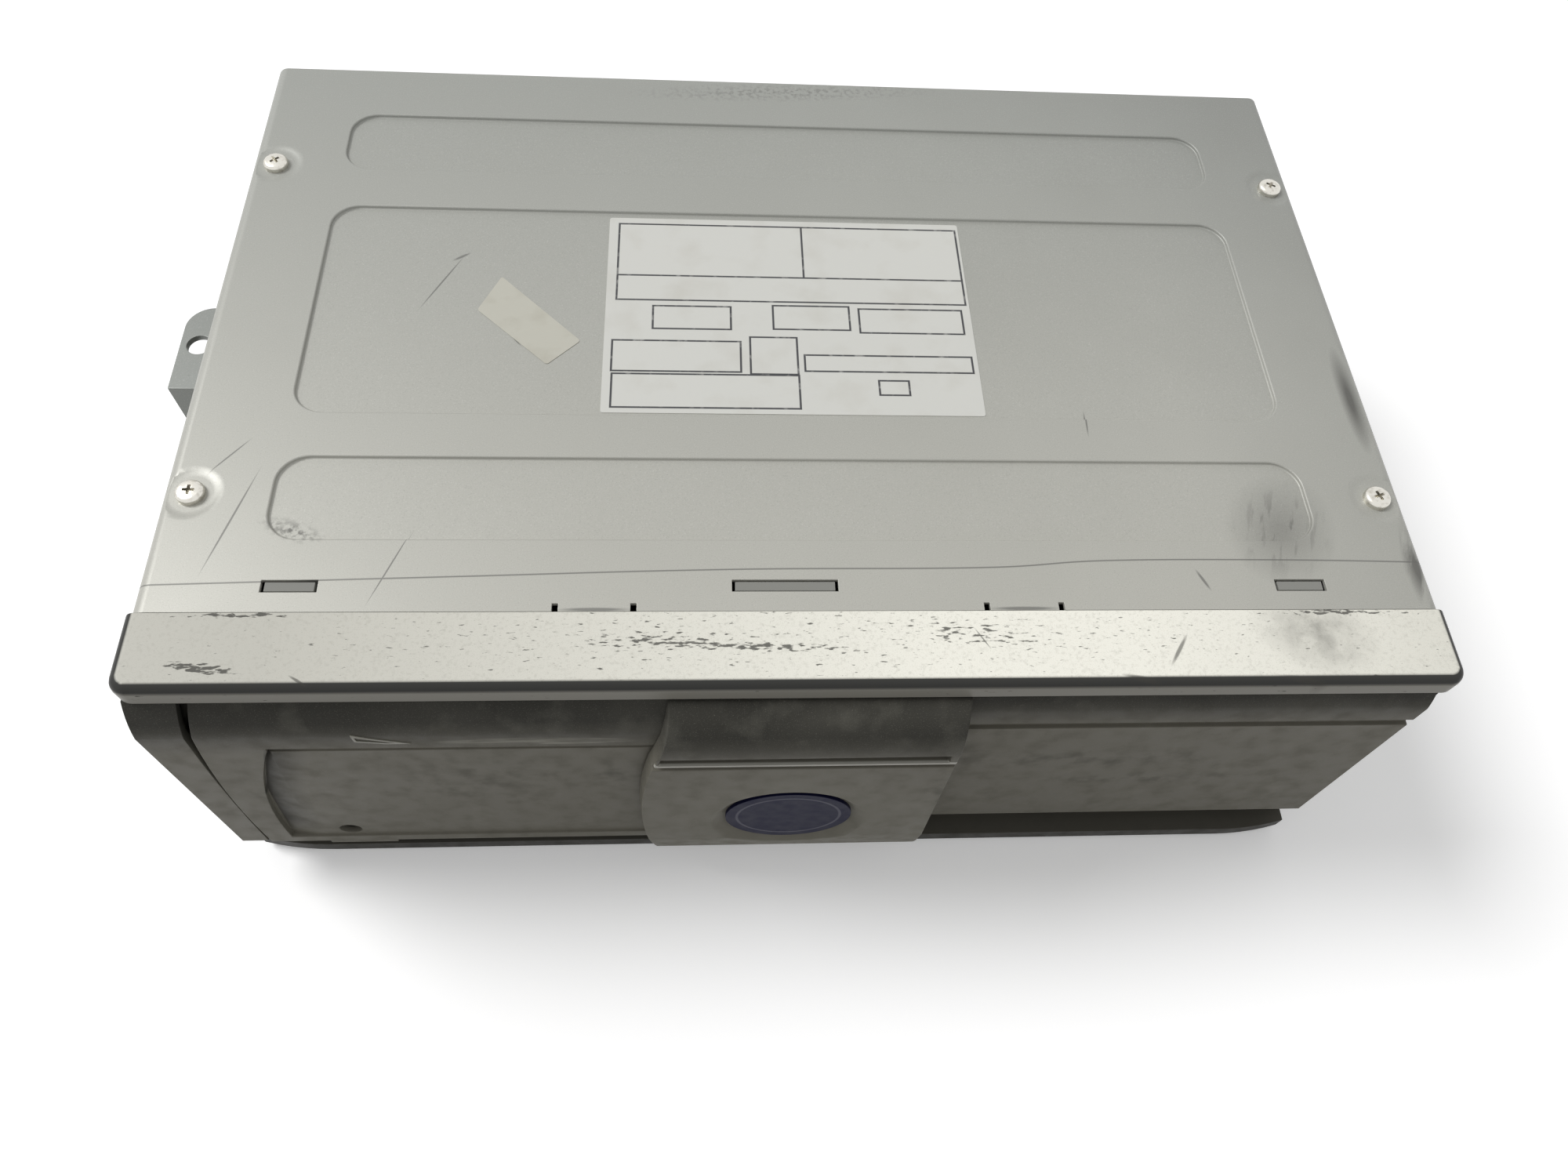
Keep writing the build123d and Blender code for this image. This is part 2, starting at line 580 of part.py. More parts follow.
def top_cover():
    """The bent cover: pressed panels, screw dimples, clip slots and the two tabs at the seam."""
    outer = block(CASE_LEFT, CASE_RIGHT, SEAM, REAR, COVER_FOOT, CASE_HEIGHT)
    outer = fillet(outer.edges().filter_by(Axis.Y).group_by(Axis.Z)[-1], COVER_BEND)
    inside = CASE_RIGHT - COVER_SHEET
    hollow = block(-inside, inside, SEAM - 1, REAR + 1, 0, CASE_HEIGHT - COVER_SHEET)
    hollow = fillet(hollow.edges().filter_by(Axis.Y).group_by(Axis.Z)[-1], COVER_BEND - COVER_SHEET)
    cover = outer - hollow
    for y0, y1 in zip(PRESS_EDGES[::2], PRESS_EDGES[1::2]):
        place = Pos(0, (y0 + y1) / 2, CASE_HEIGHT - PRESS_DEPTH)
        floor = RectangleRounded(2 * PRESS_HALF_WIDTH, y1 - y0, PRESS_CORNER)
        under = Rectangle(2 * (PRESS_HALF_WIDTH + COVER_SHEET), y1 - y0 + 2 * COVER_SHEET)
        cover += place * Pos(0, 0, -COVER_SHEET) * extrude(under, amount=PRESS_DEPTH)
        cover -= place * extrude(floor, amount=PRESS_DEPTH)
    for y in SCREW_Y:
        for x in (-SCREW_X, SCREW_X):
            place = Pos(x, y, CASE_HEIGHT - DIMPLE_DEPTH / 2)
            cover -= place * Cone(DIMPLE_FLOOR_RADIUS, DIMPLE_RADIUS, DIMPLE_DEPTH)
    for y in side_holes():
        cover -= bar_x(SIDE_HOLE_RADIUS, y, SIDE_HOLE_Z, inside - 1, CASE_RIGHT + 1)
    deep = CASE_HEIGHT - 4 * COVER_SHEET
    for side in (-1, 1):
        for end in (-1, 1):
            x = side * TAB_MIDDLE + end * TAB_WIDTH / 2
            half = TAB_NOTCH / 2
            cover -= block(x - half, x + half, SEAM - 1, SEAM + TAB_NOTCH_DEPTH, deep, CASE_HEIGHT + 1)
    for x, width in SLOTS:
        y0 = SEAM + SLOT_BEHIND_SEAM
        cover -= block(x - width / 2, x + width / 2, y0, y0 + SLOT_LENGTH, deep, CASE_HEIGHT + 1)
    return cover


def rear_panel():
    """The steel rear wall with the holes of the bus socket and the audio jacks."""
    wide = CHASSIS_HALF - CHASSIS_SHEET
    panel = block(-wide, wide, REAR_PANEL_INSIDE, REAR, CHASSIS_SHEET, EAR_TOP)
    for x, z, size in [(SOCKET_X, SOCKET_Z, SOCKET_WIDTH)] + [(x, JACK_Z, JACK_BODY) for x in JACK_X]:
        half = size / 2 + PANEL_HOLE_GAP
        panel -= block(x - half, x + half, REAR_PANEL_INSIDE - 1, REAR + 1, z - half, z + half)
    return panel


def side_bracket():
    """The mounting bracket on the left side: a plate on the case, a flange outwards and a gusset in front."""
    inner, outer = CASE_LEFT, CASE_LEFT - BRACKET_REACH
    half = BRACKET_PLATE_LENGTH / 2
    low = BRACKET_TOP - BRACKET_PLATE_HEIGHT
    plate = block(inner - BRACKET_SHEET, inner, SIDE_HOLE_Y - half, SIDE_HOLE_Y + half, low, BRACKET_TOP)
    plate = fillet(plate.edges().filter_by(Axis.X).group_by(Axis.Z)[0], BRACKET_CORNER)
    rear = BRACKET_FRONT + BRACKET_LENGTH
    flange = block(outer, inner, BRACKET_FRONT, rear, BRACKET_TOP - BRACKET_SHEET, BRACKET_TOP)
    flange = fillet(flange.edges().filter_by(Axis.Z).group_by(Axis.X)[0].sort_by(Axis.Y)[-1:], BRACKET_CORNER)
    low = BRACKET_TOP - BRACKET_GUSSET
    y = BRACKET_FRONT
    outline = Polyline(
        (outer, y, BRACKET_TOP),
        (inner, y, BRACKET_TOP),
        (inner, y, low),
        (inner - BRACKET_SHEET, y, low),
        (outer, y, low + BRACKET_GUSSET * GUSSET_SHARE),
        close=True,
    )
    bracket = plate + flange + extrude(make_face(outline), amount=BRACKET_SHEET, dir=(0, 1, 0))
    hole_x = inner - (BRACKET_REACH + BRACKET_SHEET) / 2
    hole_y = BRACKET_FRONT + (BRACKET_LENGTH + BRACKET_SHEET) / 2
    return bracket - upright(BRACKET_HOLE_RADIUS, hole_x, hole_y, low, CASE_HEIGHT)


def front_bezel():
    """The front's moulding: brow, wall with the magazine opening, cheek, rail lip, sides and cover clips."""
    half = CASE_RIGHT + BROW_OVERHANG
    brow = block(-half, half, SEAM - BROW_DEPTH, SEAM, BROW_BOTTOM, CASE_HEIGHT)
    brow = fillet(brow.edges().filter_by(Axis.Z).group_by(Axis.Y)[0], BROW_END_RADIUS)
    brow = fillet(brow.edges().group_by(Axis.Z)[-1].filter_by(lambda e: e.center().Y < SEAM - 1), BROW_EDGE)
    inside = CASE_RIGHT - SIDE_SKIN
    brow -= block(-inside, inside, WALL_BACK, SEAM + 1, 0, CASE_HEIGHT - BEZEL_SKIN)
    bezel = brow + block(-inside, inside, WALL_FRONT, WALL_BACK, WALL_BOTTOM, BROW_BOTTOM)
    for side in (-1, 1):
        x0, x1 = sorted((side * inside, side * CASE_RIGHT))
        bezel += block(x0, x1, WALL_FRONT, SEAM, LIP_BOTTOM, BROW_BOTTOM)
    bezel += rail_lip() - block(-inside, inside, WALL_BACK, SEAM + 1, 0, LIP_TOP + 1)
    bezel += cheek()
    bezel -= magazine_opening()
    left, right = (CASE_LEFT + x + side * HOOK_WIDTH / 2 for x, side in zip(HOOK_X, (-1, 1)))
    rise = HOOK_SHEET / 2 + HOOK_GAP
    for z in (TOP_SLOT_Z, BOTTOM_SLOT_Z):
        x0, x1 = left - HOOK_END_GAP, right + DOOR_TRAVEL + HOOK_END_GAP
        bezel -= block(x0, x1, WALL_FRONT - 1, WALL_BACK + 1, z - rise, z + rise)
    bezel -= button_block(BUTTON_GAP, WALL_FRONT - 1, WALL_BACK + 1)
    for x, width in SLOTS:
        bezel += clip(x, width)
    return bezel


def rail_lip():
    """The lip along the front's foot, swept back towards both ends."""
    end, straight = CASE_RIGHT - LIP_END, CASE_RIGHT - LIP_STRAIGHT_END
    front, back = SEAM - LIP_DEPTH, SEAM - LIP_END_DEPTH
    middle = ((end + straight) / 2, front + (back - front) / 4)
    outline = [
        Polyline((-end, back), (-end, SEAM), (end, SEAM), (end, back)),
        ThreePointArc((end, back), middle, (straight, front)),
        Line((straight, front), (-straight, front)),
        ThreePointArc((-straight, front), (-middle[0], middle[1]), (-end, back)),
    ]
    return Pos(0, 0, LIP_BOTTOM) * extrude(make_face(outline), amount=LIP_TOP - LIP_BOTTOM)


def cheek():
    """The fixed left end of the front, with the door's profile and a curved right edge."""
    skin = face_depth(FACE_BOTTOM_Z) - WALL_DEPTH
    solid = face_shell(CASE_LEFT, CASE_LEFT + 2 * CHEEK_TOP_WIDTH, 0, DOOR_SKIN, CHEEK_BOTTOM_Z)
    solid += face_shell(CASE_LEFT, CASE_LEFT + SIDE_SKIN, 0, skin, CHEEK_BOTTOM_Z)
    web_y, web_top = WALL_FRONT - DOOR_SKIN, FACE_SHOULDER[1]
    solid += block(CASE_LEFT, CASE_LEFT + CHEEK_BOTTOM_WIDTH, web_y, WALL_FRONT, CHEEK_BOTTOM_Z, web_top)
    edge = (
        (CASE_LEFT + CHEEK_TOP_WIDTH, BROW_BOTTOM + 1),
        (CASE_LEFT + CHEEK_BEND_WIDTH, CHEEK_BEND_Z),
        (CASE_LEFT + CHEEK_BOTTOM_WIDTH, CHEEK_BOTTOM_Z - 1),
    )
    return solid - edge_cutter(edge, 0)


def magazine_opening():
    """The cutter of the opening that the magazine passes."""
    gap = CAGE_OPENING_GAP
    x0, x1 = MAGAZINE_LEFT - gap, MAGAZINE_RIGHT + gap
    return block(x0, x1, WALL_FRONT - 1, WALL_BACK + 1, MAGAZINE_BOTTOM - gap, MAGAZINE_TOP + gap)


def clip(x, width):
    """A tongue under the cover with a nose that snaps into the cover's slot."""
    half = width / 2 - CLIP_SIDE_GAP
    low = EAR_TOP - CLIP_THICKNESS
    tongue = block(x - half, x + half, SEAM - 1, SEAM + CLIP_LENGTH, low, EAR_TOP)
    y0 = SEAM + SLOT_BEHIND_SEAM + NOSE_GAP
    y1 = y0 + SLOT_LENGTH - 2 * NOSE_GAP
    return tongue + block(x - half, x + half, y0, y1, low, CASE_HEIGHT - NOSE_GAP)


def button_block(gap, y0, y1):
    """The eject button's outline, grown by a gap."""
    wide, high = BUTTON_WIDTH / 2 + gap, BUTTON_HEIGHT / 2 + gap
    return block(BUTTON_X - wide, BUTTON_X + wide, y0, y1, BUTTON_Z - high, BUTTON_Z + high)


def fixed_panel():
    """The fixed panel at the right, one step behind the door, with its return along the case's side."""
    bottom = FACE_BOTTOM_Z + PANEL_BOTTOM_RISE
    panel = face_shell(PANEL_LEFT, CASE_RIGHT, PANEL_STEP, PANEL_SKIN, bottom)
    depth = FACE_BOTTOM_DEPTH - PANEL_STEP - WALL_DEPTH
    for x0 in (PANEL_LEFT, CASE_RIGHT - PANEL_SKIN):
        panel += face_shell(x0, x0 + PANEL_SKIN, PANEL_STEP, depth, bottom)
    panel -= block(PANEL_LEFT - 1, CASE_RIGHT + 1, WALL_FRONT, 0, 0, CASE_HEIGHT)
    panel -= block(PANEL_LEFT - 1, CASE_RIGHT + 1, SEAM - LIP_DEPTH, SEAM, PANEL_TOP_Z, CASE_HEIGHT)
    return panel - groove(PANEL_LEFT - 1, CASE_RIGHT + 1, PANEL_STEP)


def sliding_door():
    """The door's skin: groove, recessed lower panel, scoop, peep hole and the hooks in the bezel's slots."""
    door = face_shell(CASE_LEFT, DOOR_RIGHT, 0, DOOR_SKIN, FACE_BOTTOM_Z)
    edge = (
        (CASE_LEFT + CHEEK_TOP_WIDTH + SLIT_TOP, BROW_BOTTOM + 1),
        (CASE_LEFT + CHEEK_BEND_WIDTH + SLIT_BEND, CHEEK_BEND_Z),
        (CASE_LEFT + CHEEK_BOTTOM_WIDTH + SLIT_BOTTOM, FACE_BOTTOM_Z - 1),
    )
    door -= edge_cutter(edge, CASE_LEFT - 1)
    door -= groove(CASE_LEFT + PANEL_EDGE[0], DOOR_RIGHT + 1, 0)
    low, high = FACE_BOTTOM_Z + PANEL_BOTTOM_BAND, GROOVE_Z
    heights = (high, PANEL_MIDDLE_Z, low)
    recess = face_shell(CASE_LEFT, DOOR_RIGHT + 1, -PANEL_RECESS, 2 * PANEL_RECESS, FACE_BOTTOM_Z)
    recess &= block(CASE_LEFT, DOOR_RIGHT + 1, SEAM - CASE_HEIGHT, SEAM, low, high)
    middle = [(CASE_LEFT + (a + b) / 2, z) for a, b, z in zip(PANEL_EDGE, SCOOP_EDGE, heights)]
    door -= recess - edge_cutter(middle, CASE_LEFT - 1)
    door -= loft([scoop_section(*line) for line in zip(PANEL_EDGE, SCOOP_EDGE, heights)])
    door -= bar_y(PEEP_RADIUS, CASE_LEFT + PEEP_X, PEEP_Z, SEAM - CASE_HEIGHT, SEAM)
    door -= block(CASE_LEFT, DOOR_RIGHT + 1, WALL_FRONT - DOOR_WALL_GAP, SEAM, GROOVE_Z, CASE_HEIGHT)
    for x in HOOK_X:
        door += hook(CASE_LEFT + x, TOP_SLOT_Z)
        door += hook(CASE_LEFT + x, BOTTOM_SLOT_Z)
    return door


def scoop_section(left, right, z):
    """One level section of the scoop's cutter: deepest at its left edge, the panel's depth at its right."""
    front = SEAM - face_depth(z)
    corners = [
        (CASE_LEFT + left, front - 1, z),
        (CASE_LEFT + left, front + SCOOP_DEPTH, z),
        (CASE_LEFT + right, front + PANEL_RECESS, z),
        (CASE_LEFT + right, front - 1, z),
    ]
    return make_face(Polyline(*corners, close=True))


def hook(x, slot_z):
    """An arm from the door's skin through the bezel's slot, with a lip that turns down behind the wall."""
    x0, x1 = x - HOOK_WIDTH / 2, x + HOOK_WIDTH / 2
    z0, z1 = slot_z - HOOK_SHEET / 2, slot_z + HOOK_SHEET / 2
    behind = WALL_BACK + CAGE_GAP
    arm = block(x0, x1, behind, behind + HOOK_LIP, z1 - HOOK_LIP_DROP, z1)
    if slot_z > FACE_BOTTOM_Z:
        return arm + block(x0, x1, SEAM - FACE_SHOULDER[0] + DOOR_SKIN, behind + HOOK_LIP, z0, z1)
    skin = SEAM - FACE_BOTTOM_DEPTH + DOOR_SKIN / 2
    arm += block(x0, x1, skin, behind + HOOK_LIP, z0, z1)
    return arm + block(x0, x1, skin, skin + HOOK_LIP, z0, FACE_BOTTOM_Z + HOOK_LIP)


def handle_profile():
    """The handle's side profile: the bulge under the brow, the finger lip, its groove and the lower face."""
    slot_bottom = HANDLE_BULGE[1] - FINGER_SLOT_HEIGHT
    lip_bottom = slot_bottom - FINGER_LIP_HEIGHT
    groove_bottom = lip_bottom - FINGER_GROOVE_HEIGHT
    face_top = (HANDLE_FACE_DEPTH, groove_bottom)
    edges = [
        ThreePointArc(side_point(HANDLE_TOP), side_point(HANDLE_BROW), side_point(HANDLE_BULGE)),
        Polyline(
            side_point(HANDLE_BULGE),
            side_point((FINGER_LIP_DEPTH, slot_bottom)),
            side_point((FINGER_LIP_DEPTH, lip_bottom)),
            side_point((FINGER_GROOVE_DEPTH, lip_bottom)),
            side_point((FINGER_GROOVE_DEPTH, groove_bottom)),
            side_point(face_top),
        ),
        ThreePointArc(side_point(face_top), side_point(HANDLE_SWELL_MIDDLE), side_point(HANDLE_SWELL)),
        Polyline(
            side_point(HANDLE_SWELL),
            side_point(HANDLE_FOOT),
            side_point((FACE_BOTTOM_DEPTH, HANDLE_BOTTOM_Z)),
            side_point((WALL_DEPTH, HANDLE_BOTTOM_Z)),
            side_point((WALL_DEPTH, HANDLE_TOP[1])),
            side_point(HANDLE_TOP),
        ),
    ]
    return make_face(edges)


def handle_outline(inset):
    """The handle's front view as a face in front of it: a bowed left side and rounded lower corners."""
    y = SEAM - HANDLE_SWELL[0] - 1

    def point(place, side):
        return (place[0] + side * inset, y, max(place[1], HANDLE_BOTTOM_Z + inset))

    left = [point(place, 1) for place in (HANDLE_LEFT_UPPER, HANDLE_LEFT_MIDDLE, HANDLE_LEFT_FOOT)]
    top = point(HANDLE_LEFT_TOP, 1)
    outline = [
        ThreePointArc(left[2], left[1], left[0]),
        Polyline(left[0], top, point(HANDLE_RIGHT_TOP, -1), point(HANDLE_RIGHT_FOOT, -1), left[2]),
    ]
    face = make_face(outline)
    return fillet(face.vertices().group_by(Axis.Z)[0], HANDLE_CORNER - min(inset, HANDLE_CORNER / 2))


def door_handle():
    """The moulded handle: hollow at the back, with slanted flanks, a finger slot and the badge's dish."""
    reach = HANDLE_SWELL[0] + 1 - WALL_DEPTH
    width = HANDLE_RIGHT_TOP[0] - HANDLE_LEFT_MIDDLE[0] + 4 * HANDLE_FLANK
    side = Pos(HANDLE_LEFT_MIDDLE[0] - 2 * HANDLE_FLANK, 0, 0)
    profile = handle_profile()
    slope = (DISH_RIM_RADIUS - DISH_RADIUS) / (DISH_RIM_DEPTH - DISH_FLOOR_DEPTH)
    tall = 2 * (DISH_RIM_DEPTH - DISH_FLOOR_DEPTH)
    dish = Cone(DISH_RADIUS, DISH_RADIUS + slope * tall, tall)
    body = side * extrude(profile, amount=width, dir=(1, 0, 0))
    body -= Pos(BADGE_X, SEAM - DISH_FLOOR_DEPTH - tall / 2, BADGE_Z) * Rot(90, 0, 0) * dish
    body &= loft([handle_outline(0), Pos(0, reach, 0) * handle_outline(-HANDLE_FLANK)])
    near, far = handle_outline(HANDLE_SKIN), handle_outline(HANDLE_SKIN - HANDLE_FLANK)
    hollow = loft([near, Pos(0, reach, 0) * far])
    inner = offset(profile, -HANDLE_SKIN, kind=Kind.INTERSECTION)
    hollow &= side * extrude(inner, amount=width, dir=(1, 0, 0))
    slot_top = HANDLE_BULGE[1]
    slot_bottom = slot_top - FINGER_SLOT_HEIGHT
    left, right = FINGER_SLOT_ENDS
    low, high = slot_bottom - HANDLE_SKIN, slot_top + HANDLE_SKIN
    hollow -= block(left, right, SEAM - LIP_DEPTH - HANDLE_SKIN, SEAM - LIP_DEPTH + HANDLE_SKIN, low, high)
    body -= hollow
    body -= block(left, right, SEAM - CASE_HEIGHT, SEAM - FINGER_SLOT_DEPTH, slot_bottom, slot_top)
    return body - face_shell(left - width, right + width, 0, CASE_HEIGHT / 4, HANDLE_BOTTOM_Z - HANDLE_CORNER)


def handle_badge():
    """The plain round badge in the handle's dish."""
    floor = SEAM - DISH_FLOOR_DEPTH
    return bar_y(BADGE_RADIUS, BADGE_X, BADGE_Z, floor - BADGE_THICKNESS, floor)


def magazine_shell():
    """The magazine's box, open at the right, with a groove for each tray in its front and rear ends."""
    x0, x1 = MAGAZINE_LEFT, MAGAZINE_RIGHT
    y0, y1 = MAGAZINE_FRONT, MAGAZINE_REAR
    shell = block(x0, x1, y0, y1, MAGAZINE_BOTTOM, MAGAZINE_TOP)
    shell = fillet(shell.edges().filter_by(Axis.Z).group_by(Axis.X)[0], MAGAZINE_CORNER)
    floor, ceiling = MAGAZINE_BOTTOM + MAGAZINE_SKIN, MAGAZINE_TOP - MAGAZINE_SKIN
    left = x0 + MAGAZINE_SKIN
    shell -= block(left, x1 + 1, y0 + MAGAZINE_END, y1 - MAGAZINE_END, floor, ceiling)
    reach = MAGAZINE_END - TRAY_GROOVE
    for number in range(TRAY_COUNT):
        z = FIRST_TRAY_Z + number * TRAY_PITCH
        shell -= block(left, x1 + 1, y0 + reach, y1 - reach, z - TRAY_GAP, z + TRAY_SHEET + TRAY_GAP)
    middle_x, middle_z = (x0 + x1) / 2, (MAGAZINE_BOTTOM + MAGAZINE_TOP) / 2
    return shell - Pos(middle_x, y0, middle_z) * Box(GRIP_WIDTH, 2 * GRIP_DEPTH, GRIP_HEIGHT)


def disc_tray(number):
    """One tray: a thin plate, a channel whose two arcs hold the disc, and a window open to the player."""
    z = FIRST_TRAY_Z + number * TRAY_PITCH
    side = MAGAZINE_END - TRAY_GROOVE + TRAY_GAP
    x0, x1 = MAGAZINE_LEFT + MAGAZINE_SKIN + TRAY_END_GAP, MAGAZINE_RIGHT - TRAY_END_GAP
    y0, y1 = MAGAZINE_FRONT + side, MAGAZINE_REAR - side
    tray = block(x0, x1, y0, y1, z, z + TRAY_SHEET)
    pocket_radius = DISC_RADIUS + DISC_POCKET_GAP
    middle_x = x0 + pocket_radius + TRAY_END_GAP
    floor, above = z + TRAY_SHEET - POCKET_DEPTH, z + 2 * TRAY_SHEET
    arc_half = pocket_radius * POCKET_ARC_SHARE
    channel = (pocket_radius**2 - arc_half**2) ** 0.5
    tray -= block(x0 - 1, x1 + 1, TRAY_MIDDLE_Y - channel, TRAY_MIDDLE_Y + channel, floor, above)
    arcs = upright(pocket_radius, middle_x, TRAY_MIDDLE_Y, floor, above)
    arcs &= block(middle_x - arc_half, middle_x + arc_half, y0 - 1, y1 + 1, floor, above)
    window = block(middle_x - TRAY_WINDOW, x1 + 1, -TRAY_WINDOW, TRAY_WINDOW, z - 1, above)
    window = chamfer(window.edges().filter_by(Axis.Z).group_by(Axis.X)[0], TRAY_WINDOW / 2)
    half = TRAY_PICKUP_SLOT
    slot_end = TRAY_MIDDLE_Y + DISC_RADIUS - TRAY_GROOVE
    slot = block(middle_x - half, middle_x + half, TRAY_MIDDLE_Y, slot_end, z - 1, above)
    return tray - arcs - Pos(0, TRAY_MIDDLE_Y, 0) * window - slot


def magazine_cage():
    """The steel cage that guides the magazine: floor, ceiling, left and rear walls on four feet."""
    x0, x1 = CAGE_LEFT, MAGAZINE_RIGHT
    y1 = MAGAZINE_REAR + CAGE_REAR_GAP
    sheet = CAGE_SHEET
    low, high = CAGE_FLOOR_TOP - sheet, CAGE_CEILING + sheet
    cage = block(x0 - sheet, x1, CAGE_FRONT, y1 + sheet, low, high)
    cage -= block(x0, x1 + 1, CAGE_FRONT - 1, y1, CAGE_FLOOR_TOP, CAGE_CEILING)
    foot = CAGE_FOOT_WIDTH
    for x in (x0 - sheet, x1 - foot):
        for y in (CAGE_FRONT, y1 + sheet - foot):
            leg = block(x, x + foot, y, y + foot, CHASSIS_SHEET, low)
            cage += leg - block(x + sheet, x + foot - sheet, y - 1, y + foot + 1, CHASSIS_SHEET + sheet, low)
    return cage


def eject_button():
    """The button's cap, the flange that keeps it behind the wall, and its stem."""
    cap = button_block(0, BUTTON_FRONT, WALL_BACK)
    cap = chamfer(cap.edges().group_by(Axis.Y)[0], BUTTON_CHAMFER)
    y0 = WALL_BACK + CAGE_GAP
    flange = button_block(BUTTON_FLANGE_RIM, y0, y0 + BUTTON_FLANGE)
    cap += button_block(-BUTTON_NECK, WALL_BACK, y0) + flange
    return cap + bar_y(STEM_RADIUS, BUTTON_X, BUTTON_Z, y0 + BUTTON_FLANGE, STEM_END)


def switch_board():
    """The small board behind the button with the eject switch on it, standing on the cage."""
    y0 = STEM_END + BUTTON_TRAVEL + SWITCH_GAP + SWITCH_BODY
    half, size = SWITCH_BOARD_WIDTH / 2, SWITCH_SIZE / 2
    low = CAGE_CEILING + CAGE_SHEET
    top = BUTTON_Z + SWITCH_BOARD_RISE
    board = block(BUTTON_X - half, BUTTON_X + half, y0, y0 + BOARD_THICKNESS, low, top)
    board += block(BUTTON_X - size, BUTTON_X + size, y0 - SWITCH_BODY, y0, BUTTON_Z - size, BUTTON_Z + size)
    return board


def lift_deck():
    """The deck: a rimmed plate with forks and a bush on the rods, the screw's nut, posts and rod seats."""
    z0, z1 = DECK_BOTTOM, DECK_TOP
    rim = z1 + DECK_RIM
    sheet = DECK_SHEET
    deck = block(DECK_LEFT, DECK_RIGHT, DECK_FRONT, DECK_REAR, z0, rim)
    deck -= block(DECK_LEFT - 1, DECK_RIGHT - sheet, DECK_FRONT + sheet, DECK_REAR - sheet, z1, rim)
    nut_x, nut_y = LEAD_SCREW
    deck += block(DECK_LEFT, nut_x + NUT_RADIUS, DECK_REAR - sheet, nut_y + NUT_RADIUS, z0, z1)
    deck += Pos(nut_x, nut_y, z0) * extrude(RegularPolygon(NUT_RADIUS, 6), amount=sheet + NUT_HEIGHT)
    deck -= upright(LEAD_SCREW_RADIUS + RUNNING_GAP, nut_x, nut_y, 0, CASE_HEIGHT)
    top = z1 + BUSH_HEIGHT
    slot, half = ROD_RADIUS + FORK_GAP, FORK_EYE / 2
    for x, y in FORKED_RODS:
        deck += block(x - half, x + half, DECK_FRONT, y + half, z0, top)
        deck -= block(x - slot, x + slot, DECK_FRONT - 1, y + slot, 0, top + 1)
    deck += upright(BUSH_RADIUS, *BUSHED_ROD, z0, top)
    deck -= upright(ROD_RADIUS + RUNNING_GAP, *BUSHED_ROD, 0, CASE_HEIGHT)
    deck -= sled_window()
    for side in (-1, 1):
        inner = SPINDLE_X + side * (ARM_WIDTH / 2 + POST_GAP)
        deck += pin_post(*sorted((inner, inner + side * POST_SHEET)))
    for y in sled_ends():
        for side in (-1, 1):
            deck += sled_seat(SPINDLE_X + side * SLED_ROD_SPACING / 2, y, SLED_ROD_RADIUS + SEAT_GAP)
        deck += sled_seat(SPINDLE_X + SLED_SCREW_OFFSET, y, SLED_SCREW_RADIUS + RUNNING_GAP)
    for x in load_ends():
        half, wide = LOAD_SEAT_DEPTH / 2, LOAD_ROD_RADIUS + SEAT_GAP
        deck += block(x, x + SLED_BLOCK, LOAD_ROD_Y - half, LOAD_ROD_Y + half, z1, LOAD_SEAT_TOP)
        deck -= block(
            x - 1, x + SLED_BLOCK + 1, LOAD_ROD_Y - wide, LOAD_ROD_Y + wide, LOAD_ROD_Z - wide, LOAD_SEAT_TOP
        )
    return deck


def pin_post(x0, x1):
    """One of the two posts that carry the clamp arm, with a notch for its pin."""
    y0, y1 = ARM_PIVOT_Y - POST_DEPTH / 2, ARM_PIVOT_Y + POST_DEPTH / 2
    top = ARM_PIVOT_Z + POST_RISE
    wide = ARM_PIN_RADIUS + RUNNING_GAP
    post = block(x0, x1, y0, y1, DECK_TOP, top)
    return post - block(x0 - 1, x1 + 1, ARM_PIVOT_Y - wide, ARM_PIVOT_Y + wide, ARM_PIVOT_Z - wide, top)


def sled_seat(x, y, wide):
    """A seat on the deck for a bar along Y, with a square notch of this half width, open at the top."""
    half = SLED_BLOCK / 2
    seat = block(x - half, x + half, y, y + SLED_BLOCK, DECK_TOP, SEAT_TOP)
    return seat - block(x - wide, x + wide, y - 1, y + SLED_BLOCK + 1, SLED_ROD_Z - wide, SEAT_TOP)


def sled_window():
    """The cutter of the deck's window under the pickup."""
    half = SLED_ROD_SPACING / 2 - SLED_BLOCK / 2 - 1
    y0 = SPINDLE_Y + SPINDLE_MOTOR_RADIUS + 1
    return block(SPINDLE_X - half, SPINDLE_X + half, y0, sled_ends()[1] - 1, 0, DECK_TOP + 1)


def sled_ends():
    """Where the two rows of rod seats start."""
    first = SPINDLE_Y + SLED_START - SLED_BLOCK
    return first, SPINDLE_Y + SLED_START + SLED_TRAVEL + PICKUP_LENGTH + 1


def load_ends():
    """Where the load rod's two seats start."""
    return CARRIAGE_START - SLED_BLOCK - 1, CARRIAGE_START + CARRIAGE_TRAVEL + CARRIAGE_LENGTH + 1


def sled_rod(side):
    """One of the two rods that guide the pickup."""
    first, last = sled_ends()
    x = SPINDLE_X + side * SLED_ROD_SPACING / 2
    return bar_y(SLED_ROD_RADIUS, x, SLED_ROD_Z, first, last + SLED_BLOCK)


def sled_screw():
    """The screw that drives the pickup, in its two seats."""
    first, last = sled_ends()
    x = SPINDLE_X + SLED_SCREW_OFFSET
    return bar_y(SLED_SCREW_RADIUS, x, SLED_ROD_Z, first - SCREW_END, last + SLED_BLOCK + SCREW_END)


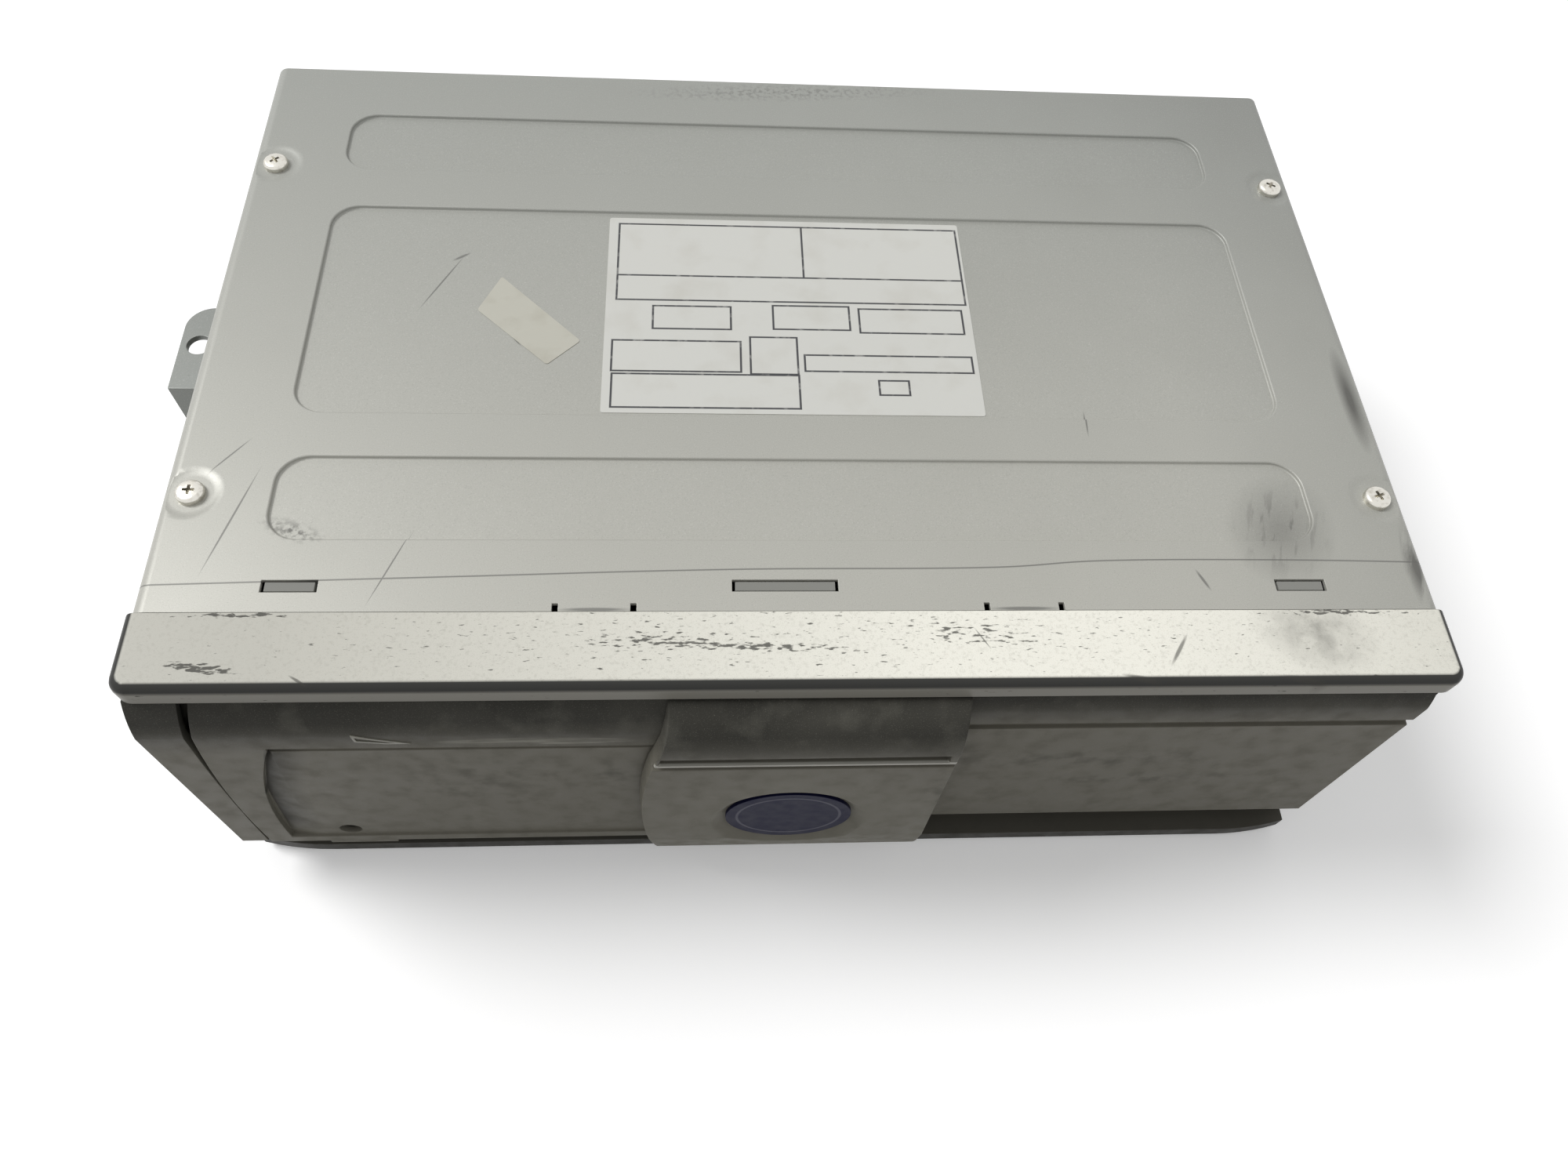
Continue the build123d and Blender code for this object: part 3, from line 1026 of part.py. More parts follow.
def sled_motor():
    """The motor in line with the pickup's screw, on its saddle."""
    x = SPINDLE_X + SLED_SCREW_OFFSET
    y1 = sled_ends()[0] - 1
    y0 = y1 - SLED_MOTOR_LENGTH
    half = SADDLE_WIDTH / 2
    saddle = block(x - half, x + half, y0, y1, DECK_TOP, SLED_ROD_Z)
    return saddle + bar_y(SLED_MOTOR_RADIUS, x, SLED_ROD_Z + SLED_MOTOR_RISE, y0, y1)


def optical_pickup():
    """The pickup's body, a bored lug on the left rod and an arm forked over the right rod and the screw."""
    y0 = SPINDLE_Y + SLED_START + SLED_CLEARANCE
    y1 = y0 + PICKUP_LENGTH
    half = PICKUP_WIDTH / 2
    body = block(SPINDLE_X - half, SPINDLE_X + half, y0, y1, PICKUP_BOTTOM, PICKUP_TOP)
    body = chamfer(body.edges().filter_by(Axis.Z), PICKUP_CORNER)
    rod = SLED_ROD_SPACING / 2
    reach = rod + SLED_ROD_RADIUS + SLED_CLEARANCE + 1
    y2, y3 = y0 + PICKUP_CORNER, y1 - PICKUP_CORNER
    body += block(SPINDLE_X - reach, SPINDLE_X, y2, y3, PICKUP_BOTTOM, LUG_TOP)
    body -= bar_y(SLED_ROD_RADIUS + RUNNING_GAP, SPINDLE_X - rod, SLED_ROD_Z, y0 - 1, y1 + 1)
    middle = (y0 + y1) / 2
    end = SPINDLE_X + SLED_SCREW_OFFSET + 2 * SLED_SCREW_RADIUS
    body += block(SPINDLE_X, end, middle - LUG_LENGTH / 2, middle + LUG_LENGTH / 2, PICKUP_BOTTOM, LUG_TOP)
    for x, radius in ((SPINDLE_X + rod, SLED_ROD_RADIUS), (SPINDLE_X + SLED_SCREW_OFFSET, SLED_SCREW_RADIUS)):
        wide = radius + RUNNING_GAP
        body -= block(x - wide, x + wide, middle - LUG_LENGTH, middle + LUG_LENGTH, 0, SLED_ROD_Z + wide)
    return body


def pickup_lens():
    """The lens in its ring on the pickup."""
    y = SPINDLE_Y + SLED_START + SLED_CLEARANCE + PICKUP_LENGTH / 2
    return upright(LENS_RADIUS, SPINDLE_X, y, PICKUP_TOP, PICKUP_TOP + LENS_HEIGHT)


def spindle_motor():
    """The flat motor on the deck, with its shaft up to the turntable."""
    top = DECK_TOP + SPINDLE_MOTOR_HEIGHT
    motor = upright(SPINDLE_MOTOR_RADIUS, SPINDLE_X, SPINDLE_Y, DECK_TOP, top)
    shaft_top = DISC_SEAT_Z - TURNTABLE_RIM - RUNNING_GAP
    return motor + upright(SPINDLE_SHAFT_RADIUS, SPINDLE_X, SPINDLE_Y, top, shaft_top)


def turntable():
    """The disc's seat with its centring cone, one turned piece."""
    profile = Polyline(
        (0, 0, DISC_SEAT_Z - TURNTABLE_RIM),
        (TURNTABLE_RADIUS, 0, DISC_SEAT_Z - TURNTABLE_RIM),
        (TURNTABLE_RADIUS, 0, DISC_SEAT_Z),
        (CONE_RADIUS, 0, DISC_SEAT_Z),
        (CONE_TIP_RADIUS, 0, DISC_SEAT_Z + CONE_HEIGHT),
        (0, 0, DISC_SEAT_Z + CONE_HEIGHT),
        close=True,
    )
    return Pos(SPINDLE_X, SPINDLE_Y, 0) * revolve(make_face(profile), Axis.Z)


def clamp_arm():
    """The arm over the spindle: a tapering rimmed plate with a pin on each side."""
    y0, y1 = SPINDLE_Y - ARM_TIP_REACH, ARM_PIVOT_Y + ARM_HEEL
    half, tip = ARM_WIDTH / 2, ARM_TIP_WIDTH / 2
    shoulder = ARM_PIVOT_Y - ARM_SHOULDER
    corners = [(half, y1), (half, shoulder), (tip, y0)]
    right = [(SPINDLE_X + x, y) for x, y in corners]
    left = [(SPINDLE_X - x, y) for x, y in reversed(corners)]
    plan = make_face(Polyline(*right, *left, close=True))
    arm = Pos(0, 0, ARM_Z) * extrude(plan, amount=ARM_SHEET + ARM_RIM)
    inner = offset(plan, -ARM_SHEET, kind=Kind.INTERSECTION)
    arm -= Pos(0, 0, ARM_Z + ARM_SHEET) * extrude(inner, amount=ARM_RIM)
    for side in (-1, 1):
        x0, x1 = sorted(SPINDLE_X + side * (half + reach) for reach in (0, POST_GAP + POST_SHEET))
        arm += bar_x(ARM_PIN_RADIUS, ARM_PIVOT_Y, ARM_PIVOT_Z, x0, x1)
    return arm


def clamper():
    """The puck that presses a disc on the turntable."""
    return upright(CLAMPER_RADIUS, SPINDLE_X, SPINDLE_Y, CLAMPER_BOTTOM, ARM_Z)


def load_rod():
    """The rod of the loading carriage."""
    first, last = load_ends()
    return bar_x(LOAD_ROD_RADIUS, LOAD_ROD_Y, LOAD_ROD_Z, first, last + SLED_BLOCK)


def load_carriage():
    """The carriage that draws a tray out, with the finger that takes the tray's edge."""
    x0, x1 = CARRIAGE_START, CARRIAGE_START + CARRIAGE_LENGTH
    y0, y1 = LOAD_ROD_Y - CARRIAGE_DEPTH / 2, LOAD_ROD_Y + CARRIAGE_DEPTH / 2
    z0, z1 = LOAD_ROD_Z - CARRIAGE_HEIGHT / 2, LOAD_ROD_Z + CARRIAGE_HEIGHT / 2
    body = block(x0, x1, y0, y1, z0, z1)
    body += block(x0, x0 + CARRIAGE_FINGER, y0, y1, z1, FIRST_TRAY_Z + TRAY_SHEET)
    return body - bar_x(LOAD_ROD_RADIUS + RUNNING_GAP, LOAD_ROD_Y, LOAD_ROD_Z, x0 - 1, x1 + 1)


def guide_rod(number):
    """One of the rods on which the deck climbs, from the floor to the top frame."""
    return upright(ROD_RADIUS, *RODS[number], CHASSIS_SHEET, ROD_TOP)


def lift_screw():
    """The lead screw, from its foot through the bridge to the gear."""
    return upright(LEAD_SCREW_RADIUS, *LEAD_SCREW, CHASSIS_SHEET + CHASSIS_GAP, GEAR_BOTTOM)


def spur_gear(teeth, phase):
    """A spur gear about Z that stands on Z 0: straight flanks at the pressure angle, with backlash."""
    pitch_radius = GEAR_MODULE * teeth / 2
    tip, root = pitch_radius + TIP_SHARE * GEAR_MODULE, pitch_radius - ROOT_SHARE * GEAR_MODULE
    half_at_pitch = (pi * GEAR_MODULE / 2 - BACKLASH) / 2
    slope = tan(radians(PRESSURE_ANGLE))
    points = []
    for number in range(teeth):
        middle = radians(phase + 360 / teeth * number)
        for radius, side in ((root, -1), (tip, -1), (tip, 1), (root, 1)):
            half = half_at_pitch - (radius - pitch_radius) * slope
            angle = middle + side * half / radius
            points.append((radius * cos(angle), radius * sin(angle)))
    return extrude(make_face(Polyline(*points, close=True)), amount=GEAR_FACE)


def lift_gear():
    """The gear on the lead screw's end."""
    return Pos(*LEAD_SCREW, GEAR_BOTTOM) * spur_gear(GEAR_TEETH, 0)


def lift_pinion():
    """The pinion on the lift motor's shaft, with a space towards the gear."""
    return Pos(*LIFT_MOTOR, GEAR_BOTTOM) * spur_gear(PINION_TEETH, 180 / PINION_TEETH)


def lift_motor():
    """The lift motor under the bridge, with its shaft through the bridge."""
    top = BRIDGE_TOP - CHASSIS_SHEET
    can = upright(LIFT_MOTOR_RADIUS, *LIFT_MOTOR, top - LIFT_MOTOR_HEIGHT, top)
    return can + upright(MOTOR_SHAFT_RADIUS, *LIFT_MOTOR, top, GEAR_BOTTOM - RUNNING_GAP)


def lift_bridge():
    """The plate at the rear that holds the lift motor and the top of the lead screw."""
    (x0, y0), (x1, _) = LEAD_SCREW, LIFT_MOTOR
    low = BRIDGE_TOP - CHASSIS_SHEET
    left, right = x0 - BRIDGE_MARGIN, x1 + BRIDGE_MARGIN
    plate = block(left, right, y0 - BRIDGE_FRONT, REAR_PANEL_INSIDE, low, BRIDGE_TOP)
    flange_y = REAR_PANEL_INSIDE - CHASSIS_SHEET
    plate += block(left, right, flange_y, REAR_PANEL_INSIDE, low - BRIDGE_FLANGE, low)
    plate -= upright(LEAD_SCREW_RADIUS + RUNNING_GAP, x0, y0, low - 1, BRIDGE_TOP + 1)
    wide = 2 * MOTOR_SHAFT_RADIUS
    return plate - block(x1 - wide, x1 + wide, y0 - wide, y0 + wide, low - 1, BRIDGE_TOP + 1)


def top_frame():
    """The angled bar that ties the tops of the three rods to the case's right side."""
    low, high = ROD_TOP, ROD_TOP + TOP_FRAME_SHEET
    right = CHASSIS_HALF - CHASSIS_SHEET
    half = TOP_FRAME_BAND / 2
    (x0, y0), _, (x2, y2) = RODS
    bar = block(x0 - half, right, y0 - half, y0 + half, low, high)
    return bar + block(x2 - half, right, y0 - half, y2 + half, low, high)


def main_board():
    """The circuit board along the rear with its chips and a capacitor."""
    y1 = BOARD_Y + BOARD_THICKNESS
    left, top = CASE_LEFT + BOARD_SIDE_ROOM, CASE_HEIGHT - BOARD_TOP_ROOM
    board = block(left, BOARD_RIGHT, BOARD_Y, y1, BOARD_BOTTOM, top)
    for room, z, size in CHIPS:
        x, half = CASE_LEFT + room, size / 2
        board += block(x - half, x + half, y1, y1 + CHIP_HEIGHT, z - half, z + half)
    room, z = CAPACITOR
    return board + bar_y(CAPACITOR_RADIUS, CASE_LEFT + room, z, y1, y1 + CAPACITOR_HEIGHT)


def bus_socket():
    """The round control socket in its square body, through the rear panel."""
    half = SOCKET_WIDTH / 2
    front, rear = BOARD_Y + BOARD_THICKNESS, REAR + SOCKET_PROUD
    socket = block(SOCKET_X - half, SOCKET_X + half, front, rear, SOCKET_Z - half, SOCKET_Z + half)
    return socket - bar_y(SOCKET_BORE_RADIUS, SOCKET_X, SOCKET_Z, rear - SOCKET_BORE_DEPTH, rear)


def audio_jack(x):
    """A phono jack: a moulded body from the board through the panel, and its sleeve with a contact hole."""
    half = JACK_BODY / 2
    face, end = REAR + JACK_BODY_PROUD, REAR + JACK_LENGTH
    jack = block(x - half, x + half, BOARD_Y + BOARD_THICKNESS, face, JACK_Z - half, JACK_Z + half)
    jack += bar_y(JACK_RADIUS, x, JACK_Z, face, end)
    contact = extrude(RegularPolygon(JACK_BORE_RADIUS, 6), amount=JACK_BORE_DEPTH)
    return jack - Pos(x, end, JACK_Z) * Rot(90, 0, 0) * contact


def parts():
    """Every node by name."""
    nodes = {
        "chassis_base": chassis_base(),
        "top_cover": top_cover(),
        "rear_panel": rear_panel(),
        "side_bracket": side_bracket(),
        "front_bezel": front_bezel(),
        "fixed_panel": fixed_panel(),
        "sliding_door": sliding_door(),
        "door_handle": door_handle(),
        "handle_badge": handle_badge(),
        "eject_button": eject_button(),
        "switch_board": switch_board(),
        "magazine_cage": magazine_cage(),
        "magazine_shell": magazine_shell(),
        "lift_deck": lift_deck(),
        "lift_screw": lift_screw(),
        "lift_gear": lift_gear(),
        "lift_pinion": lift_pinion(),
        "lift_motor": lift_motor(),
        "lift_bridge": lift_bridge(),
        "top_frame": top_frame(),
        "spindle_motor": spindle_motor(),
        "turntable": turntable(),
        "clamp_arm": clamp_arm(),
        "clamper": clamper(),
        "optical_pickup": optical_pickup(),
        "pickup_lens": pickup_lens(),
        "sled_screw": sled_screw(),
        "sled_motor": sled_motor(),
        "load_rod": load_rod(),
        "load_carriage": load_carriage(),
        "main_board": main_board(),
        "bus_socket": bus_socket(),
    }
    for side, x in zip(("left", "right"), JACK_X):
        nodes[f"audio_jack_{side}"] = audio_jack(x)
    for name, side in (("left", -1), ("right", 1)):
        nodes[f"sled_rod_{name}"] = sled_rod(side)
    for number in range(len(RODS)):
        nodes[f"guide_rod_{number + 1}"] = guide_rod(number)
    for number in range(TRAY_COUNT):
        nodes[f"disc_tray_{number + 1:02d}"] = disc_tray(number)
    return nodes


os.makedirs("parts", exist_ok=True)
for name, shape in parts().items():
    export_step(shape, f"parts/{name}.step")
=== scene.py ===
"""The looks of a car disc changer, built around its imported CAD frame.

Every solid of the frame gets rounded edges and a worn finish of its own. The screws, the paper label, the
price sticker, the wedge arrow on the door and the contacts of the round socket are added, and a plain studio
stands round them. Lengths are in metres, and places are the frame's: X to the right, Y to the rear, Z up.
"""

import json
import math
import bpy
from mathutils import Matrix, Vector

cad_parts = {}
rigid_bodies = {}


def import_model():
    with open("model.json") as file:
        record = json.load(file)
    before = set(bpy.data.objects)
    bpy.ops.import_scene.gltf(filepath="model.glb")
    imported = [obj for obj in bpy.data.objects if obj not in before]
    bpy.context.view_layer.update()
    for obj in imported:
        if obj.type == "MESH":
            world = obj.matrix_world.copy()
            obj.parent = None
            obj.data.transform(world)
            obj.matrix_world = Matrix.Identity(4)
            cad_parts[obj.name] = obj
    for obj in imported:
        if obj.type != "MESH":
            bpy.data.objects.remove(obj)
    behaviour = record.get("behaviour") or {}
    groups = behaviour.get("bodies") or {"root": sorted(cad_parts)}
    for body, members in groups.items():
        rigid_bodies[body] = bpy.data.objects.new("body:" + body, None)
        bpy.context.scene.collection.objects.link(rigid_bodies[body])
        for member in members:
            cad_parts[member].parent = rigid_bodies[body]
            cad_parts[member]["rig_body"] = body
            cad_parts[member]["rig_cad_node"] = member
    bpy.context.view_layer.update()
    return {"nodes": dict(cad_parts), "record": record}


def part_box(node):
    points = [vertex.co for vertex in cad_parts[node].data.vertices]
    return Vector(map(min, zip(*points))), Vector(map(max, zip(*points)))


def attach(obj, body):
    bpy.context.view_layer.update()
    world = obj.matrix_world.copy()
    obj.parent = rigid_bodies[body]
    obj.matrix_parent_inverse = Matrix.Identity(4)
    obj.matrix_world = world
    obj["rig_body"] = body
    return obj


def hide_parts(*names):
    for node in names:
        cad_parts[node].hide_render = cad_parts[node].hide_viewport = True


bl_info = {
    "name": "Car disc changer",
    "version": (1, 0, 0),
    "blender": (4, 5, 0),
    "location": "View3D > Sidebar > Disc changer",
    "description": "Builds the looks of a car disc changer around its CAD frame",
    "category": "Object",
}

import bmesh
import bpy
from mathutils import Vector

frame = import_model()
SLOT_OF = {part["node"]: part["material_slot"] for part in frame["record"]["subparts"]}
BODY_OF = {node: piece["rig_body"] for node, piece in frame["nodes"].items()}
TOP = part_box("top_cover")[1].z
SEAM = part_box("top_cover")[0].y
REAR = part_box("rear_panel")[1].y
BROW_BOTTOM = TOP - 0.0055

CASE = (
    "top_cover",
    "chassis_base",
    "rear_panel",
    "side_bracket",
    "magazine_cage",
    "lift_bridge",
    "top_frame",
)
FRONT = ("front_bezel", "fixed_panel", "sliding_door", "door_handle", "handle_badge", "eject_button")
MAGAZINE = ("magazine_shell",) + tuple(f"disc_tray_{number:02d}" for number in range(1, 11))
SOCKETS = ("bus_socket", "audio_jack_left", "audio_jack_right", "main_board", "switch_board")
# The widths of the roundings on the moulded front. The front moulding's is finer, because a wider one would
# fold over at the corners of the magazine's opening.
MOULDED_EDGES = {
    "front_bezel": 0.00015,
    "fixed_panel": 0.00025,
    "sliding_door": 0.00025,
    "door_handle": 0.0004,
    "eject_button": 0.00025,
}
MERGE_DISTANCE = 0.000002
FLAT_ANGLE = math.radians(0.5)
EDGE_ANGLE = math.radians(32)
SMOOTH_ANGLE = math.radians(35)

PRESS_FLOOR = TOP - 0.0008
PRESS_MARGIN = 0.012
PRESS_SIDE_MARGIN = 0.0215
PRESS_EDGE_ANGLE = 1.0
TOLERANCE = 0.0001
DIMPLE_FLOOR = TOP - 0.0006
SCREW_PLACES = ((-0.1251, -0.0522), (0.1251, -0.0522), (-0.1251, 0.0443), (0.1251, 0.0443))
SCREW_TURN_STEP = 0.35
# A screw's head by shares of its radius or rise: the dome, the crown, and the bars of the cross recess.
DOME_WIDTH = 0.6
CROWN_INSET = 0.35
CROWN_RISE = 0.06
CROSS_MIDDLE = 1.05
CROSS_BAR = (1.15, 0.26, 0.9)
CROSS_TAPER = (0.45, 0.7, 1)
SIDE_SCREW_PLACES = ((-0.022, 0.052), (0.010, 0.052))
REAR_SCREW_PLACES = ((-0.118, 0.012), (0.118, 0.012), (-0.118, 0.078), (0.118, 0.078))
REAR_SCREW_TURN = 0.3
BRACKET_SHEET = 0.0015
CONTACT_RADIUS = 0.0004
CONTACT_LENGTH = 0.0045
CONTACT_TIP = 0.00025
CONTACT_RINGS = ((0.0046, 8), (0.0023, 5))
SOCKET_DEPTH = 0.007
JACK_CORE_RADIUS = 0.0031
JACK_BODY_REAR = REAR + 0.0006
THREAD_PITCH = 0.0012

LABEL_MIDDLE = (-0.0013, -0.0007)
STICKER_CORNERS = ((-0.0681, 0.0090), (-0.0491, -0.0101), (-0.0562, -0.0171), (-0.0728, -0.0013))
PAPER_CORNER = 0.0006
ARROW_CORNERS = ((-0.0794, 0.0722), (-0.0904, 0.0760), (-0.0901, 0.0733), (-0.0843, 0.0722))
ARROW_LIFT = 0.00012
ARROW_SHEET = 0.0002
BEFORE_DOOR = SEAM - 0.05
RULE_FULL, RULE_FADED = 0.00018, 0.00030
LABEL_BOXES = (
    ((-0.0415, 0.0103), (0.0024, 0.0270)),
    ((0.0024, 0.0103), (0.0405, 0.0270)),
    ((-0.0415, 0.0026), (0.0405, 0.0103)),
    ((-0.0330, -0.0061), (-0.0151, 0.0008)),
    ((-0.0053, -0.0058), (0.0125, 0.0014)),
    ((0.0148, -0.0065), (0.0392, 0.0008)),
    ((-0.0420, -0.0186), (-0.0130, -0.0097)),
    ((-0.0108, -0.0191), (-0.0001, -0.0083)),
    ((0.0015, -0.0181), (0.0400, -0.0134)),
    ((-0.0418, -0.0288), (0.0000, -0.0194)),
    ((0.0180, -0.0247), (0.0248, -0.0206)),
)

# The marks on level surfaces. A scratch has its two ends and its width. A rub has its middle, its half sizes,
# its turn in degrees, the share of it that is full, and its strength.
COVER_SCRATCHES = (
    ((-0.0768, 0.0163), (-0.0863, -0.0023), 0.0005),
    ((-0.0800, 0.0137), (-0.0757, 0.0166), 0.0009),
    ((-0.1120, -0.0450), (-0.1197, -0.0726), 0.0005),
    ((-0.1230, -0.0480), (-0.1150, -0.0380), 0.0004),
    ((0.0638, -0.0282), (0.0634, -0.0365), 0.0005),
    ((-0.0796, -0.0600), (-0.0871, -0.0790), 0.0004),
    ((0.0802, -0.0700), (0.0827, -0.0755), 0.0008),
    ((-0.0650, -0.0080), (-0.0620, -0.0120), 0.0006),
)
# Painted shade in the gaps at the two seam tabs, drawn as thin lines with two ends and a width.
TAB_GAP_SHADES = (
    ((-0.0507, SEAM + 0.0004), (-0.0353, SEAM + 0.0004), 0.0010),
    ((0.0353, SEAM + 0.0004), (0.0507, SEAM + 0.0004), 0.0010),
)
COVER_RUBS = {
    "smudge": ((0.1015, -0.0600), (0.0120, 0.0150), -25, 0.1, 1.0),
    "right_side": ((0.1268, -0.0250), (0.0026, 0.0160), 0, 0.2, 0.8),
    "right_end": ((0.1285, -0.0700), (0.0030, 0.0120), 0, 0.2, 1.0),
    "left_corner": ((-0.1035, -0.0610), (0.0080, 0.0030), -20, 0.1, 1.0),
    "rear": ((0.0, 0.0760), (0.0450, 0.0040), 3, 0.0, 0.6),
}
# The hairline's points are shares of the cover's width and of the run from the hairline's front to its rear.
HAIRLINE_POINTS = ((0.23, 0.30), (0.45, 0.46), (0.64, 0.50), (0.74, 0.66), (0.85, 0.68))
HAIRLINE_ENDS = (0.12, 0.62)
HAIRLINE_HALF_WIDTH = 0.131
HAIRLINE_FRONT, HAIRLINE_REAR = -0.0750, -0.0645
BROW_SCRATCHES = (
    ((0.0755, -0.0850), (0.0705, -0.0925), 0.0010),
    ((0.0320, -0.0835), (0.0350, -0.0885), 0.0004),
    ((-0.0990, -0.0930), (-0.0950, -0.0955), 0.0007),
    ((0.0600, -0.0940), (0.0690, -0.0960), 0.0013),
    ((0.0920, -0.0945), (0.1030, -0.0962), 0.0013),
)
BROW_RUBS = (
    ((-0.0150, -0.0874), (0.0400, 0.0020), -2, 0.0, 1.0),
    ((-0.0300, -0.0862), (0.0260, 0.0040), 0, 0.1, 0.75),
    ((0.0320, -0.0850), (0.0300, 0.0045), -6, 0.2, 0.60),
    ((-0.1150, -0.0915), (0.0085, 0.0014), -8, 0.5, 1.0),
    ((0.1080, -0.0803), (0.0200, 0.0011), 0, 0.2, 1.0),
    ((-0.1100, -0.0803), (0.0160, 0.0008), 0, 0.2, 1.0),
    ((0.0, -0.0860), (0.1300, 0.0085), 0, 0.6, 0.22),
)
BROW_FILM = ((0.1020, -0.0850), (0.0140, 0.0100), -20, 0.1, 1.0)
RUB_DEPTH = 0.02

# The marks on the upright front: on the panel, the door and the handle. A smudge has its middle, its half
# sizes and its strength. The scoop's left edge has three places, each across and up.
FRONT_SMUDGES = (
    ((0.0650, -0.0970, 0.0500), (0.0380, 0.0200, 0.0060), 1.0),
    ((0.0800, -0.0970, 0.0380), (0.0300, 0.0200, 0.0040), 1.0),
    ((-0.0700, -0.0970, 0.0500), (0.0260, 0.0200, 0.0180), 0.6),
    ((0.0330, -0.1020, 0.0520), (0.0090, 0.0200, 0.0120), 1.0),
    ((-0.0400, -0.1020, 0.0520), (0.0060, 0.0200, 0.0110), 1.0),
)
SMUDGE_FULL = 0.1
SHADE_START, SHADE_FULL = 0.0670, 0.0790
# The painted highlight along the lip under the handle's finger slot: its bottom, its top and its front.
SLOT_LIP_BOTTOM, SLOT_LIP_TOP, SLOT_LIP_FRONT = 0.0678, 0.0694, SEAM - 0.0240
RAIL_LIP_TOP = 0.0066
SCOOP_LOW, SCOOP_MIDDLE, SCOOP_HIGH = (-0.1188, 0.0168), (-0.1157, 0.0460), (-0.1084, 0.0700)
SCOOP_SHADE_WIDTH = 0.0085
PALE_SILVER = (0.34, 0.33, 0.28)

FLOOR_LIT, FLOOR_SEEN = (0.36, 0.36, 0.36), (0.95, 0.95, 0.95)
FLOOR_GLOW = 0.24
CLIP_START = 0.01
SUN_PLACE = (0, 0.4, 1.2)
SUN_TURN = (math.radians(-14), math.radians(-38), 0)
SUN_SPREAD = math.radians(25)


def length(name, description, default):
    """A length that a user would change."""
    return bpy.props.FloatProperty(name=name, description=description, default=default, unit="LENGTH")


def paint(name, description, default):
    """A colour that a user would change."""
    return bpy.props.FloatVectorProperty(name=name, description=description, default=default, subtype="COLOR")


class ChangerSizes(bpy.types.PropertyGroup):
    """The sizes of what is added to the frame."""

    sheet_edge: length("Sheet edge", "Width of the rounding on cut sheet and small parts", 0.00012)
    press_slope: length("Press slope", "Width of the slope round the cover's pressed panels", 0.0004)
    screw_radius: length("Screw radius", "Radius of a screw's head", 0.0029)
    screw_rise: length("Screw rise", "Height of a screw's head", 0.0016)
    label_width: length("Label width", "Width of the paper label", 0.0852)
    label_depth: length("Label depth", "Depth of the paper label", 0.0593)
    paper: length("Paper", "Thickness of the label and the sticker", 0.00012)
    arrow_line: length("Arrow line", "Width of the arrow's raised line", 0.0005)


class ChangerColours(bpy.types.PropertyGroup):
    """The colours of the visible finishes."""

    # The cover runs from the rear colour to the front colour; the lighter front is painted sheen.
    cover_rear: paint("Cover, rear", "The silver paint at the cover's rear", (0.350, 0.358, 0.332))
    cover_front_painted_sheen: paint("Cover, front", "The silver paint at the seam", (0.475, 0.470, 0.425))
    brow: paint("Brow", "The bright silver of the brow", (0.60, 0.59, 0.53))
    # The front's grey is partly its own and partly painted shade, darkened to stand in for the shade on the
    # upright front.
    front: paint("Front", "The grey silver of the door and the panel", (0.190, 0.180, 0.148))
    badge: paint("Badge", "The dark blue of the badge", (0.006, 0.007, 0.032))
    label: paint("Label", "The white of the label", (0.66, 0.66, 0.62))
    sticker: paint("Sticker", "The cream of the price sticker", (0.54, 0.53, 0.46))
    ink: paint("Ink", "The dark grey of ruled lines", (0.035, 0.036, 0.040))
    dirt: paint("Dirt", "The grey of rubbed marks", (0.060, 0.058, 0.052))


class StageSizes(bpy.types.PropertyGroup):
    """The floor, the lamp and the camera."""

    floor_size: length("Floor size", "Side of the square floor", 8.0)
    sky: bpy.props.FloatProperty(name="Sky", description="Strength of the white surroundings", default=0.42)
    sun: bpy.props.FloatProperty(name="Sun", description="Strength of the soft lamp", default=2.0)
    camera_place: bpy.props.FloatVectorProperty(
        name="Camera place", description="Where the camera stands", default=(-0.02234, -0.18646, 0.28921),
        subtype="XYZ",
    )
    camera_turn: bpy.props.FloatVectorProperty(
        name="Camera turn", description="Rotation of the camera about X, Y and Z",
        default=(math.radians(29.40066), math.radians(-3.63755), math.radians(-2.12771)), subtype="EULER",
    )
    lens: bpy.props.FloatProperty(
        name="Lens", description="Focal length for a 36 mm sensor", default=26.263, unit="CAMERA"
    )


def nothing_selected():
    """Deselects everything, so that the next operator acts only on what it makes."""
    if bpy.context.object and bpy.context.object.mode != "OBJECT":
        bpy.ops.object.mode_set(mode="OBJECT")
    bpy.ops.object.select_all(action="DESELECT")


def only(piece):
    """Makes one piece the selected and active one."""
    nothing_selected()
    piece.select_set(True)
    bpy.context.view_layer.objects.active = piece


def pick(piece, kind, test):
    """In edit mode, selects the piece's faces or edges that pass a test, and nothing else."""
    bpy.ops.mesh.select_all(action="DESELECT")
    bpy.ops.mesh.select_mode(type=kind)
    mesh = bmesh.from_edit_mesh(piece.data)
    for element in mesh.faces if kind == "FACE" else mesh.edges:
        if test(element):
            element.select_set(True)
    bmesh.update_edit_mesh(piece.data)


def apply_modifier(piece, kind, **settings):
    """Adds a modifier to a piece, sets it and applies it."""
    only(piece)
    bpy.ops.object.modifier_add(type=kind)
    modifier = piece.modifiers[-1]
    for name, value in settings.items():
        setattr(modifier, name, value)
    bpy.ops.object.modifier_apply(modifier=modifier.name)


def settle(piece):
    """Puts a piece's place, turn and size into its mesh."""
    only(piece)
    bpy.ops.object.transform_apply(location=True, rotation=True, scale=True)


def hand_over(piece, name, body, material):
    """Names a finished piece, gives it its finish and lets it ride on its body."""
    piece.name = name
    piece.data.name = name
    piece.data.materials.clear()
    piece.data.materials.append(material)
    only(piece)
    bpy.ops.object.shade_smooth_by_angle(angle=SMOOTH_ANGLE)
    apply_modifier(piece, "WEIGHTED_NORMAL", keep_sharp=True, weight=100)
    apply_modifier(piece, "TRIANGULATE", min_vertices=5, keep_custom_normals=True)
    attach(piece, body)


